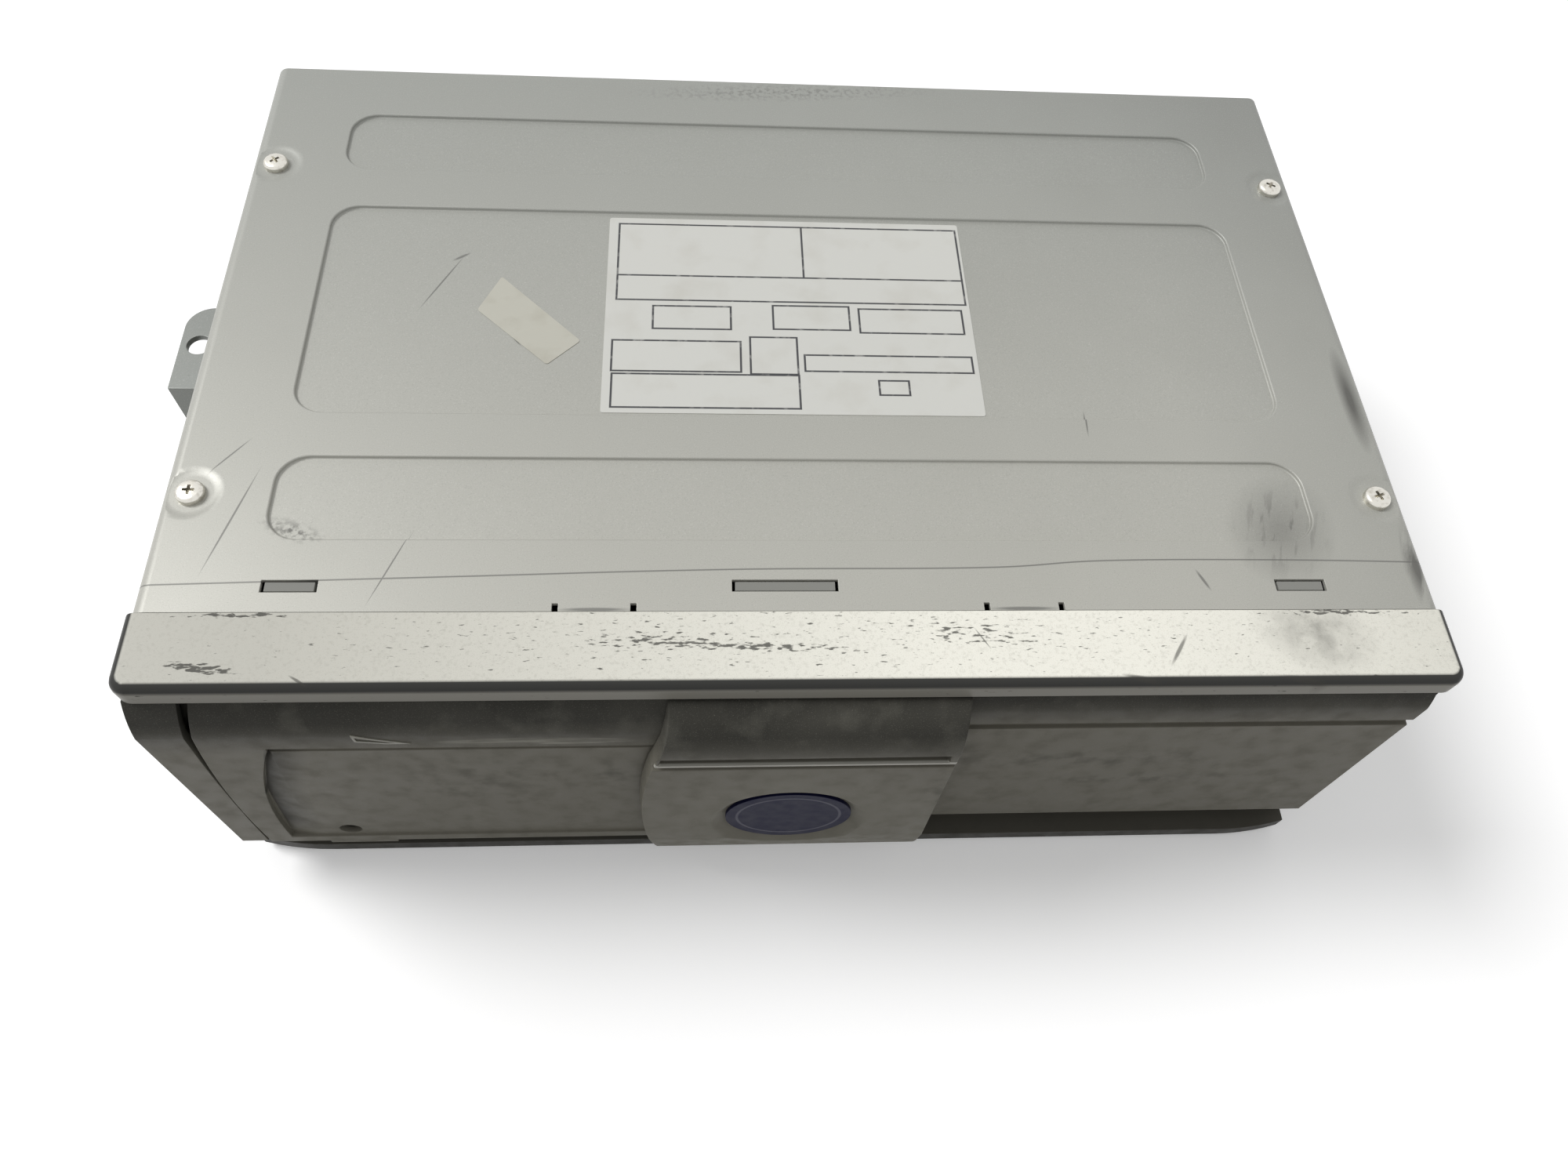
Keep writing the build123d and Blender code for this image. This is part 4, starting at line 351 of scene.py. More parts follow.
class Finish:
    """One material on Object coordinates, with short ways to add the nodes that the finishes share."""

    def __init__(self, name, metallic=0.0, coat=0.0, gloss=0.5):
        self.colours = bpy.context.scene.changer_colours
        self.material = bpy.data.materials.new(name + "_finish")
        self.material.use_nodes = True
        self.nodes = self.material.node_tree.nodes
        self.links = self.material.node_tree.links
        self.shader = self.nodes["Principled BSDF"]
        self.shader.inputs["Metallic"].default_value = metallic
        self.shader.inputs["Coat Weight"].default_value = coat
        self.shader.inputs["Specular IOR Level"].default_value = gloss
        self.place = self.nodes.new("ShaderNodeTexCoord").outputs["Object"]
        axes = self.nodes.new("ShaderNodeSeparateXYZ")
        self.links.new(self.place, axes.inputs[0])
        self.x, self.y, self.z = axes.outputs

    def feed(self, socket, value):
        """Links a node's output to a socket, or sets the socket to a plain value."""
        if isinstance(value, bpy.types.NodeSocket):
            self.links.new(value, socket)
        elif hasattr(value, "__len__") and socket.type == "RGBA":
            socket.default_value = (*value, 1.0)
        else:
            socket.default_value = value

    def calc(self, operation, first, second=0.0):
        """The result of one sum, product or the like."""
        node = self.nodes.new("ShaderNodeMath")
        node.operation = operation
        self.feed(node.inputs[0], first)
        self.feed(node.inputs[1], second)
        return node.outputs[0]

    def times(self, *masks):
        """The product of several masks."""
        product = masks[0]
        for mask in masks[1:]:
            product = self.calc("MULTIPLY", product, mask)
        return product

    def apart(self, first, second):
        """How far two values are apart."""
        return self.calc("ABSOLUTE", self.calc("SUBTRACT", first, second))

    def between(self, value, low, high, floor=0.0, ceiling=1.0):
        """Floor at low, ceiling at high, and a straight run between them."""
        node = self.nodes.new("ShaderNodeMapRange")
        for socket, number in zip(node.inputs, (value, low, high, floor, ceiling)):
            self.feed(socket, number)
        return node.outputs[0]

    def blend(self, amount, under, over):
        """One colour over another by an amount."""
        node = self.nodes.new("ShaderNodeMix")
        node.data_type = "RGBA"
        self.feed(node.inputs[0], amount)
        self.feed(node.inputs[6], under)
        self.feed(node.inputs[7], over)
        return node.outputs[2]

    def tint(self, under, mask, low, high, amount, over):
        """Lays a colour over another where a mask goes from low to high, up to this amount."""
        return self.blend(self.between(mask, low, high, 0.0, amount), under, over)

    def mapped(self, centre=(0, 0, 0), turn=(0, 0, 0), size=(1, 1, 1)):
        """The place seen from a centre, turned and measured in sizes."""
        node = self.nodes.new("ShaderNodeMapping")
        node.vector_type = "TEXTURE"
        self.feed(node.inputs["Vector"], self.place)
        self.feed(node.inputs["Location"], centre)
        self.feed(node.inputs["Rotation"], turn)
        self.feed(node.inputs["Scale"], size)
        return node.outputs[0]

    def noise(self, size, detail=3.0, stretch=(1, 1, 1), turn=(0, 0, 0)):
        """Cloudy noise whose features have about this size, longer along the stretched axes."""
        node = self.nodes.new("ShaderNodeTexNoise")
        self.feed(node.inputs["Vector"], self.mapped(turn=turn, size=stretch))
        self.feed(node.inputs["Scale"], 1 / size)
        self.feed(node.inputs["Detail"], detail)
        return node.outputs[0]

    def distance(self, centre, size, turn=0.0):
        """How far the place is from a centre, turned about Z and measured in sizes."""
        far = self.nodes.new("ShaderNodeVectorMath")
        far.operation = "LENGTH"
        self.feed(far.inputs[0], self.mapped(centre, (0, 0, math.radians(turn)), size))
        return far.outputs["Value"]

    def patch(self, centre, size, turn, inner):
        """A soft ellipsoid, turned about Z: 1 inside its inner share and 0 at its edge."""
        return self.between(self.distance(centre, size, turn), 1.0, inner)

    def rub(self, middle, size, turn, inner, strength):
        """A soft oval on the level top."""
        return self.times(self.patch((*middle, TOP), (*size, RUB_DEPTH), turn, inner), strength)

    def scratch(self, start, end, width):
        """A thin line on the level top, widest in its middle: a scratch, and also the painted shade in a seam
        tab's gap.
        """
        run = Vector(end) - Vector(start)
        middle = (Vector(start) + Vector(end)) / 2
        size = (run.length / 2, width / 2, RUB_DEPTH / 2)
        return self.patch((*middle, TOP), size, math.degrees(math.atan2(run.y, run.x)), 0.5)

    def most(self, *masks):
        """The strongest of several masks."""
        strongest = masks[0]
        for mask in masks[1:]:
            strongest = self.calc("MAXIMUM", strongest, mask)
        return strongest

    def done(self, colour, roughness, height=None, distance=0.0001):
        """Feeds the shader and returns the material."""
        self.feed(self.shader.inputs["Base Color"], colour)
        self.feed(self.shader.inputs["Roughness"], roughness)
        if height is not None:
            bump = self.nodes.new("ShaderNodeBump")
            bump.inputs["Distance"].default_value = distance
            self.feed(bump.inputs["Height"], height)
            self.links.new(bump.outputs[0], self.shader.inputs["Normal"])
        return self.material


def record_colour(slot):
    """The record's colour of a slot, for surfaces that the photograph doesn't show."""
    shown = next(entry for entry in frame["record"]["materials"] if entry["slot"] == slot)
    return tuple(part**2.2 for part in shown["base_color"])


def cover_paint():
    """Fine metallic silver paint with painted sheen to the front and painted shade to the right, to the right
    rear and in the seam tabs' gaps, with one long hairline, scratches and rubbed dirt.
    """
    skin = Finish("cover_paint", metallic=0.20)
    # Painted sheen: the cover grows lighter from its rear to the seam.
    base = skin.blend(skin.between(skin.y, 0.075, -0.079), skin.colours.cover_rear, skin.colours.cover_front_painted_sheen)
    # Painted shade: darker at the right rear and towards the right edge.
    painted_shade_right_rear = skin.times(skin.between(skin.x, 0.02, 0.13), skin.between(skin.y, 0.0, 0.08))
    base = skin.blend(skin.times(painted_shade_right_rear, 0.45), base, (0.20, 0.207, 0.195))
    base = skin.tint(base, skin.x, 0.085, 0.131, 0.35, (0.24, 0.247, 0.232))
    flake = skin.noise(0.00022, 2.0)
    base = skin.tint(base, flake, 0.60, 0.75, 0.30, (0.78, 0.78, 0.74))
    base = skin.tint(base, flake, 0.40, 0.28, 0.35, (0.20, 0.20, 0.185))
    cloud = skin.noise(0.035, 4.0)
    base = skin.tint(base, cloud, 0.35, 0.70, 0.10, (0.24, 0.235, 0.21))
    grit = skin.between(skin.noise(0.0012, 6.0), 0.46, 0.62)
    streak = skin.noise(0.0022, 5.0, stretch=(1, 5, 1), turn=(0, 0, math.radians(-18)))
    rubs = {name: skin.rub(*place) for name, place in COVER_RUBS.items()}
    wiped = skin.times(skin.most(rubs["smudge"], rubs["right_end"]), skin.between(streak, 0.44, 0.62))
    gritty = skin.times(skin.most(rubs["left_corner"], rubs["rear"]), grit)
    film = skin.times(rubs["smudge"], 0.42)
    worn = skin.most(skin.times(skin.most(wiped, gritty), 0.75), film, rubs["right_side"])
    base = skin.blend(worn, base, skin.colours.dirt)
    # The scratches here include the painted shade in the seam tabs' gaps.
    scratches = skin.most(*(skin.scratch(*mark) for mark in COVER_SCRATCHES + TAB_GAP_SHADES))
    scratches_and_gap_shade = skin.most(skin.times(hairline(skin), 0.8), skin.times(scratches, 0.75))
    base = skin.blend(scratches_and_gap_shade, base, (0.13, 0.13, 0.12))
    dull = skin.most(worn, skin.between(cloud, 0.4, 0.7, 0.0, 0.4))
    height = skin.calc("SUBTRACT", skin.times(flake, 0.10), skin.times(scratches_and_gap_shade, 0.35))
    return skin.done(base, skin.between(dull, 0.0, 1.0, 0.40, 0.62), height)


def hairline(skin):
    """The long fine scratch that wanders across the cover just behind the seam."""
    path = skin.nodes.new("ShaderNodeFloatCurve")
    curve = path.mapping.curves[0]
    for across, along in HAIRLINE_POINTS:
        curve.points.new(across, along)
    curve.points[0].location = (0.0, HAIRLINE_ENDS[0])
    curve.points[-1].location = (1.0, HAIRLINE_ENDS[1])
    path.mapping.update()
    skin.feed(path.inputs["Value"], skin.between(skin.x, -HAIRLINE_HALF_WIDTH, HAIRLINE_HALF_WIDTH))
    line = skin.between(path.outputs[0], 0.0, 1.0, HAIRLINE_FRONT, HAIRLINE_REAR)
    return skin.between(skin.apart(skin.y, line), 0.00024, 0.00008)


def front_skin(skin):
    """The grey silver plastic's colour, roughness and flakes: painted shade below the brow, cloudy and
    soiled.
    """
    # Painted shade under the brow: the plastic darkens upwards towards the brow.
    upper = skin.between(skin.z, SHADE_START, SHADE_FULL)
    base = skin.blend(skin.times(upper, 0.85), skin.colours.front, (0.022, 0.022, 0.020))
    flake = skin.noise(0.0002, 2.0)
    base = skin.tint(base, flake, 0.58, 0.75, 0.22, PALE_SILVER)
    soil = skin.noise(0.0050, 5.0)
    base = skin.tint(base, soil, 0.52, 0.75, 0.16, skin.colours.dirt)
    base = skin.tint(base, skin.noise(0.030, 4.0), 0.48, 0.75, 0.14, (0.27, 0.26, 0.22))
    return base, skin.between(soil, 0.4, 0.7, 0.40, 0.58), flake


def brow_plastic():
    """The front moulding: a bright brow with a painted highlight, painted shade on its rounded edge and dark
    scuffs, over the same grey silver as the door's.
    """
    skin = Finish("brow_plastic", gloss=0.10)
    lower, low_roughness, flake = front_skin(skin)
    lip = skin.between(skin.z, RAIL_LIP_TOP, RAIL_LIP_TOP - 0.0006)
    lower = skin.blend(skin.times(lip, 0.92), lower, (0.034, 0.033, 0.029))
    # Painted highlight: the brow's top is lighter round a middle a little right of centre.
    painted_highlight = skin.between(skin.apart(skin.x, 0.045), 0.150, 0.020)
    bright = skin.blend(painted_highlight, skin.colours.brow, (0.97, 0.955, 0.86))
    bright = skin.tint(bright, flake, 0.44, 0.28, 0.35, (0.40, 0.39, 0.34))
    bright = skin.tint(bright, skin.noise(0.0007, 4.0), 0.52, 0.70, 0.22, (0.38, 0.37, 0.32))
    # Painted shade by facing: off the level top, the brow's rounded edge is painted dark and its upright face
    # mid grey.
    normal = skin.nodes.new("ShaderNodeSeparateXYZ")
    skin.links.new(skin.nodes.new("ShaderNodeNewGeometry").outputs["Normal"], normal.inputs[0])
    facing_up = normal.outputs[2]
    edge = skin.blend(skin.between(facing_up, 0.45, 0.10), (0.050, 0.050, 0.047), (0.300, 0.288, 0.252))
    bright = skin.blend(skin.between(facing_up, 0.996, 0.950), bright, edge)
    rubbed = skin.most(*(skin.rub(*place) for place in BROW_RUBS))
    fine = skin.noise(0.0006, 6.0, stretch=(3.5, 1, 1))
    specks = skin.between(skin.calc("ADD", fine, skin.times(rubbed, 0.26)), 0.68, 0.75)
    film = skin.times(skin.rub(*BROW_FILM), skin.between(skin.noise(0.004, 6.0), 0.35, 0.65, 0.25, 0.60))
    scratches = skin.most(*(skin.scratch(*mark) for mark in BROW_SCRATCHES))
    worn = skin.most(specks, film, skin.times(scratches, 0.8))
    bright = skin.blend(skin.times(worn, 0.85), bright, skin.colours.dirt)
    bright = skin.blend(skin.between(skin.y, SEAM + 0.0004, SEAM + 0.0006), bright, (0.27, 0.27, 0.25))
    above = skin.between(skin.z, BROW_BOTTOM - TOLERANCE, BROW_BOTTOM + TOLERANCE)
    bright_roughness = skin.between(worn, 0.0, 1.0, 0.34, 0.6)
    roughness = skin.between(above, 0.0, 1.0, low_roughness, bright_roughness)
    return skin.done(skin.blend(above, lower, bright), roughness, skin.times(flake, 0.08))


def scoop_shade(skin):
    """The shade in the door's scoop, darkest along its curved left edge."""
    (low_x, low_z), (middle_x, middle_z), (high_x, high_z) = SCOOP_LOW, SCOOP_MIDDLE, SCOOP_HIGH
    lower = skin.between(skin.z, low_z, middle_z, low_x, middle_x)
    upper = skin.between(skin.z, middle_z, high_z, 0.0, high_x - middle_x)
    inward = skin.calc("SUBTRACT", skin.x, skin.calc("ADD", lower, upper))
    across = skin.times(skin.between(inward, SCOOP_SHADE_WIDTH, 0.0010), skin.between(inward, -0.0003, 0.0))
    return skin.times(across, skin.between(skin.z, high_z, 0.0660), skin.between(skin.z, 0.0165, 0.0260))


def front_plastic():
    """The door, the handle and the fixed panel: grey silver paint with painted shade in the scoop and under
    the brow, a painted highlight on the handle's slot lip, and faint smudges.
    """
    skin = Finish("front_plastic", gloss=0.08)
    base, roughness, flake = front_skin(skin)
    handle = skin.patch((-0.0020, -0.1040, 0.0300), (0.0500, 0.0300, 0.0420), 0, 0.6)
    base = skin.blend(skin.times(handle, 0.12), base, PALE_SILVER)
    # Painted highlight: a pale line along the lip under the handle's finger slot.
    lip = skin.times(
        skin.between(skin.z, SLOT_LIP_BOTTOM, SLOT_LIP_BOTTOM + 0.0004),
        skin.between(skin.z, SLOT_LIP_TOP, SLOT_LIP_TOP - 0.0003),
        skin.between(skin.y, SLOT_LIP_FRONT + 0.0004, SLOT_LIP_FRONT),
    )
    base = skin.blend(skin.times(lip, 0.85), base, (0.62, 0.61, 0.55))
    base = skin.blend(skin.times(scoop_shade(skin), 0.80), base, (0.018, 0.017, 0.015))
    smudges = [
        skin.times(skin.patch(middle, size, 0, SMUDGE_FULL), strength)
        for middle, size, strength in FRONT_SMUDGES
    ]
    grit = skin.between(skin.noise(0.0050, 6.0), 0.42, 0.66)
    base = skin.blend(skin.times(skin.most(*smudges), grit, 0.45), base, (0.040, 0.039, 0.035))
    band = skin.patch((-0.0550, -0.0920, 0.0724), (0.0240, 0.0150, 0.0022), 0, 0.8)
    lines = skin.between(skin.noise(0.0007, 2.0, stretch=(14, 1, 1)), 0.40, 0.62, 0.15, 0.70)
    base = skin.blend(skin.times(band, lines), base, PALE_SILVER)
    pale = skin.between(skin.noise(0.008, 5.0), 0.55, 0.72)
    base = skin.blend(skin.times(pale, 0.12), base, PALE_SILVER)
    return skin.done(base, roughness, skin.times(flake, 0.08))


def badge_blue():
    """Dark blue with a pale ring near its rim and fine turned rings."""
    skin = Finish("badge_blue", gloss=0.05)
    low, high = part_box("handle_badge")
    rim = (high.x - low.x) / 2
    radius = skin.distance((low + high) / 2, (1, 100, 1))
    ring = skin.between(skin.apart(radius, 0.82 * rim), 0.0004, 0.0002)
    turned = skin.calc("SINE", skin.times(radius, 14000.0))
    base = skin.blend(skin.between(radius, 0.0, rim, 0.0, 0.5), skin.colours.badge, (0.008, 0.008, 0.034))
    base = skin.blend(skin.times(ring, 0.45), base, (0.22, 0.22, 0.27))
    return skin.done(base, skin.between(skin.noise(0.003), 0.3, 0.7, 0.30, 0.42), turned, 0.000001)


def zinc_steel():
    """Dull zinc plate: cloudy grey metal with a fine rolled grain."""
    skin = Finish("zinc_steel", metallic=1.0)
    cloud = skin.noise(0.007, 6.0)
    base = skin.blend(skin.between(cloud, 0.3, 0.7), (0.39, 0.395, 0.40), (0.48, 0.48, 0.475))
    grain = skin.noise(0.0005, 3.0, stretch=(12, 1, 1))
    base = skin.tint(base, grain, 0.55, 0.75, 0.35, (0.62, 0.62, 0.62))
    return skin.done(base, skin.between(cloud, 0.3, 0.7, 0.34, 0.52), skin.times(grain, 0.06))


def bracket_steel():
    """The bracket's silver paint, with fine flakes and dark chips."""
    skin = Finish("bracket_steel", metallic=0.45)
    flake = skin.noise(0.00022, 2.0)
    base = skin.tint((0.23, 0.24, 0.225), flake, 0.58, 0.75, 0.3, (0.50, 0.50, 0.47))
    chips = skin.between(skin.noise(0.0025, 6.0), 0.66, 0.72)
    base = skin.blend(skin.times(chips, 0.4), base, skin.colours.dirt)
    return skin.done(base, skin.between(chips, 0.0, 1.0, 0.42, 0.6), skin.times(flake, 0.1))


def turned_steel():
    """Bright turned steel with fine rings and a film of grease."""
    skin = Finish("turned_steel", metallic=1.0)
    grain = skin.noise(0.0004, 3.0, stretch=(1, 1, 0.2))
    base = skin.blend(skin.between(grain, 0.35, 0.7), (0.46, 0.46, 0.47), (0.66, 0.66, 0.66))
    film = skin.between(skin.noise(0.006, 4.0), 0.55, 0.75)
    base = skin.blend(skin.times(film, 0.25), base, (0.20, 0.17, 0.10))
    return skin.done(base, skin.between(film, 0.0, 1.0, 0.20, 0.34), skin.times(grain, 0.05))


def motor_can():
    """The drawn steel of the motors' cans, with faint lines along them."""
    skin = Finish("motor_can", metallic=1.0)
    grain = skin.noise(0.0006, 4.0, stretch=(1, 1, 10))
    base = skin.blend(skin.between(grain, 0.35, 0.7), (0.36, 0.36, 0.37), (0.56, 0.56, 0.56))
    return skin.done(base, skin.between(grain, 0.3, 0.7, 0.30, 0.45), skin.times(grain, 0.05))


def moulded(name, colour, rough=0.5, grain_size=0.0004):
    """Moulded plastic with an eroded grain, cloudy colour and dust in places."""
    skin = Finish(name)
    grain = skin.noise(grain_size, 3.0)
    darker = tuple(0.72 * part for part in colour)
    base = skin.blend(skin.between(skin.noise(0.015, 4.0), 0.35, 0.7), colour, darker)
    base = skin.tint(base, skin.noise(0.003, 6.0), 0.60, 0.72, 0.05, (0.42, 0.41, 0.38))
    return skin.done(base, skin.between(grain, 0.3, 0.7, rough - 0.07, rough + 0.08), grain, 0.00003)


def jack(slot, node):
    """A phono jack: a coloured moulding whose sleeve is plated metal outside."""
    skin = Finish(slot)
    low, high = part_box(node)
    radius = skin.distance((low + high) / 2, (1, 1000, 1))
    outside = skin.between(radius, JACK_CORE_RADIUS, JACK_CORE_RADIUS + 0.0001)
    sleeve = skin.times(outside, skin.between(skin.y, JACK_BODY_REAR, JACK_BODY_REAR + 0.0002))
    grain = skin.noise(0.0005, 3.0)
    plastic = skin.tint(record_colour(slot), grain, 0.4, 0.7, 0.2, (0.3, 0.3, 0.3))
    skin.feed(skin.shader.inputs["Metallic"], sleeve)
    base = skin.blend(sleeve, plastic, (0.62, 0.60, 0.55))
    return skin.done(base, skin.between(sleeve, 0.0, 1.0, 0.45, 0.24), grain, 0.00002)


def circuit_board():
    """Green board with straight copper runs under the lacquer."""
    skin = Finish("circuit_board", coat=0.3)
    bricks = skin.nodes.new("ShaderNodeTexBrick")
    skin.feed(bricks.inputs["Vector"], skin.mapped(turn=(math.radians(90), 0, 0)))
    skin.feed(bricks.inputs["Scale"], 260.0)
    skin.feed(bricks.inputs["Mortar Size"], 0.03)
    cloud = skin.between(skin.noise(0.004, 2.0), 0.48, 0.52)
    runs = skin.times(bricks.outputs["Fac"], cloud)
    base = skin.blend(runs, record_colour("circuit_board"), (0.06, 0.22, 0.07))
    return skin.done(base, skin.between(cloud, 0.0, 1.0, 0.34, 0.42), runs, 0.00003)


def lens_glass():
    """The pickup's small lens: clear, faintly blue."""
    skin = Finish("lens_glass", coat=1.0)
    skin.shader.inputs["Transmission Weight"].default_value = 0.6
    glass = skin.blend(skin.noise(0.002), (0.10, 0.14, 0.32), (0.22, 0.30, 0.52))
    return skin.done(glass, skin.between(skin.noise(0.001), 0.0, 1.0, 0.03, 0.08))


def threaded_steel(lie, node, across, along):
    """Turned steel with a screw thread along the node's own axis."""
    skin = Finish("threaded_steel_" + lie, metallic=1.0)
    low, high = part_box(node)
    middle = (low + high) / 2
    axes = (skin.x, skin.y, skin.z)
    sides = [skin.calc("SUBTRACT", axes[side], middle[side]) for side in across]
    turn = skin.calc("DIVIDE", skin.calc("ARCTAN2", sides[0], sides[1]), 2 * math.pi)
    thread = skin.calc("FRACT", skin.calc("ADD", skin.calc("DIVIDE", axes[along], THREAD_PITCH), turn))
    tooth = skin.calc("PINGPONG", thread, 0.5)
    base = skin.blend(skin.between(tooth, 0.05, 0.40), (0.08, 0.075, 0.06), (0.60, 0.60, 0.60))
    return skin.done(base, skin.between(tooth, 0.0, 0.5, 0.45, 0.25), tooth, 0.0009)


def screw_steel():
    """Bright nickel plate of the screws and contacts, tarnished in spots."""
    skin = Finish("screw_steel", metallic=1.0)
    spots = skin.between(skin.noise(0.0011, 5.0), 0.50, 0.68)
    base = skin.blend(skin.times(spots, 0.45), (0.74, 0.72, 0.66), (0.24, 0.21, 0.16))
    return skin.done(base, skin.between(spots, 0.0, 1.0, 0.22, 0.45), skin.noise(0.0006), 0.00002)


def label_paper():
    """White coated paper with plain ruled boxes, soiled in places."""
    skin = Finish("label_paper", coat=0.15)
    base = skin.tint(skin.colours.label, skin.noise(0.010, 6.0), 0.50, 0.80, 0.45, (0.52, 0.50, 0.44))
    nearest = None
    for (left, front), (right, rear) in LABEL_BOXES:
        beyond_x = skin.calc("SUBTRACT", skin.apart(skin.x, (left + right) / 2), (right - left) / 2)
        beyond_y = skin.calc("SUBTRACT", skin.apart(skin.y, (front + rear) / 2), (rear - front) / 2)
        edge = skin.calc("ABSOLUTE", skin.calc("MAXIMUM", beyond_x, beyond_y))
        nearest = edge if nearest is None else skin.calc("MINIMUM", nearest, edge)
    ruled = skin.between(nearest, RULE_FADED, RULE_FULL)
    wear = skin.between(skin.noise(0.002, 5.0), 0.30, 0.45, 0.65, 1.0)
    base = skin.blend(skin.times(ruled, wear), base, skin.colours.ink)
    fibre = skin.noise(0.0004, 4.0)
    return skin.done(base, skin.between(fibre, 0.3, 0.7, 0.42, 0.55), fibre, 0.00001)


def sticker_paper():
    """Cream price sticker, bare and a little grubby."""
    skin = Finish("sticker_paper")
    base = skin.tint(skin.colours.sticker, skin.noise(0.006, 6.0), 0.48, 0.75, 0.5, (0.42, 0.40, 0.33))
    fibre = skin.noise(0.0005, 4.0, stretch=(3, 1, 1))
    return skin.done(base, skin.between(fibre, 0.3, 0.7, 0.6, 0.75), fibre, 0.00002)


FINISHES = {
    "cover_paint": cover_paint,
    "zinc_steel": zinc_steel,
    "bracket_steel": bracket_steel,
    "turned_steel": turned_steel,
    "motor_can": motor_can,
    "brow_plastic": brow_plastic,
    "front_plastic": front_plastic,
    "badge_blue": badge_blue,
    "button_plastic": lambda: moulded("button_plastic", (0.13, 0.125, 0.11), 0.42, 0.0003),
    "arrow_plastic": lambda: moulded("arrow_plastic", (0.32, 0.31, 0.26), 0.42, 0.0003),
    "black_plastic": lambda: moulded("black_plastic", (0.022, 0.022, 0.023), 0.48),
    "magazine_plastic": lambda: moulded("magazine_plastic", record_colour("magazine_plastic"), 0.5),
    "tray_plastic": lambda: moulded("tray_plastic", record_colour("tray_plastic"), 0.46, 0.0003),
    "white_nylon": lambda: moulded("white_nylon", (0.72, 0.71, 0.66), 0.4, 0.0003),
    "circuit_board": circuit_board,
    "lens_glass": lens_glass,
    "jack_white": lambda: jack("jack_white", "audio_jack_left"),
    "jack_red": lambda: jack("jack_red", "audio_jack_right"),
    "threaded_steel_upright": lambda: threaded_steel("upright", "lift_screw", (0, 1), 2),
    "threaded_steel_level": lambda: threaded_steel("level", "sled_screw", (0, 2), 1),
    "screw_steel": screw_steel,
    "label_paper": label_paper,
    "sticker_paper": sticker_paper,
}
THREADED = {"lift_screw": "threaded_steel_upright", "sled_screw": "threaded_steel_level"}


def finish(name):
    """The material of this name, made the first time that it is asked for."""
    return bpy.data.materials.get(name + "_finish") or FINISHES[name]()


def whole_copy(node):
    """A copy of a CAD node with its triangles joined and its flat faces whole."""
    only(frame["nodes"][node])
    bpy.ops.object.duplicate()
    piece = bpy.context.object
    del piece["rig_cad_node"]
    bpy.ops.object.mode_set(mode="EDIT")
    bpy.ops.mesh.customdata_custom_splitnormals_clear()
    bpy.ops.mesh.select_all(action="SELECT")
    bpy.ops.mesh.remove_doubles(threshold=MERGE_DISTANCE)
    bpy.ops.mesh.dissolve_limited(angle_limit=FLAT_ANGLE)
    bpy.ops.object.mode_set(mode="OBJECT")
    return piece


def slope_presses(piece, width):
    """Gives the cover's pressed panels their soft slopes, above and below."""
    front, rear = SEAM + PRESS_MARGIN, REAR - PRESS_MARGIN
    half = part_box("top_cover")[1].x - PRESS_SIDE_MARGIN

    def on_press(edge):
        ends = [vertex.co for vertex in edge.verts]
        inside = all(front < end.y < rear and abs(end.x) < half for end in ends)
        upper = all(end.z > PRESS_FLOOR - TOLERANCE for end in ends)
        return inside and upper and edge.calc_face_angle(0.0) > PRESS_EDGE_ANGLE

    only(piece)
    bpy.ops.object.mode_set(mode="EDIT")
    pick(piece, "EDGE", on_press)
    bpy.ops.mesh.bevel(offset=width, segments=3, affect="EDGES")
    bpy.ops.object.mode_set(mode="OBJECT")


def soften(node, width):
    """Stands a rounded copy in for a CAD node."""
    piece = whole_copy(node)
    if node == "top_cover":
        slope_presses(piece, bpy.context.scene.changer_sizes.press_slope)
    apply_modifier(
        piece, "BEVEL", width=width, segments=2, limit_method="ANGLE", angle_limit=EDGE_ANGLE,
        use_clamp_overlap=False,
    )
    slot = SLOT_OF[node]
    hand_over(piece, node + "_soft", BODY_OF[node], finish(THREADED.get(node, slot)))
    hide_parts(node)


def soften_all(nodes):
    """Softens several nodes, the moulded ones by widths of their own."""
    for node in nodes:
        soften(node, MOULDED_EDGES.get(node, bpy.context.scene.changer_sizes.sheet_edge))


def cross_cutter(radius):
    """The cutter of a cross recess: two bars that taper downwards."""
    nothing_selected()
    bpy.ops.mesh.primitive_cube_add(size=1)
    cutter = bpy.context.object
    bpy.ops.object.mode_set(mode="EDIT")
    bpy.ops.transform.resize(value=[share * radius for share in CROSS_BAR])
    pick(cutter, "FACE", lambda face: face.normal.z < -0.9)
    bpy.ops.transform.resize(value=CROSS_TAPER)
    bpy.ops.mesh.select_all(action="SELECT")
    bpy.ops.mesh.duplicate()
    bpy.ops.transform.rotate(value=math.pi / 2, orient_axis="Z", center_override=(0, 0, 0))
    bpy.ops.object.mode_set(mode="OBJECT")
    return cutter


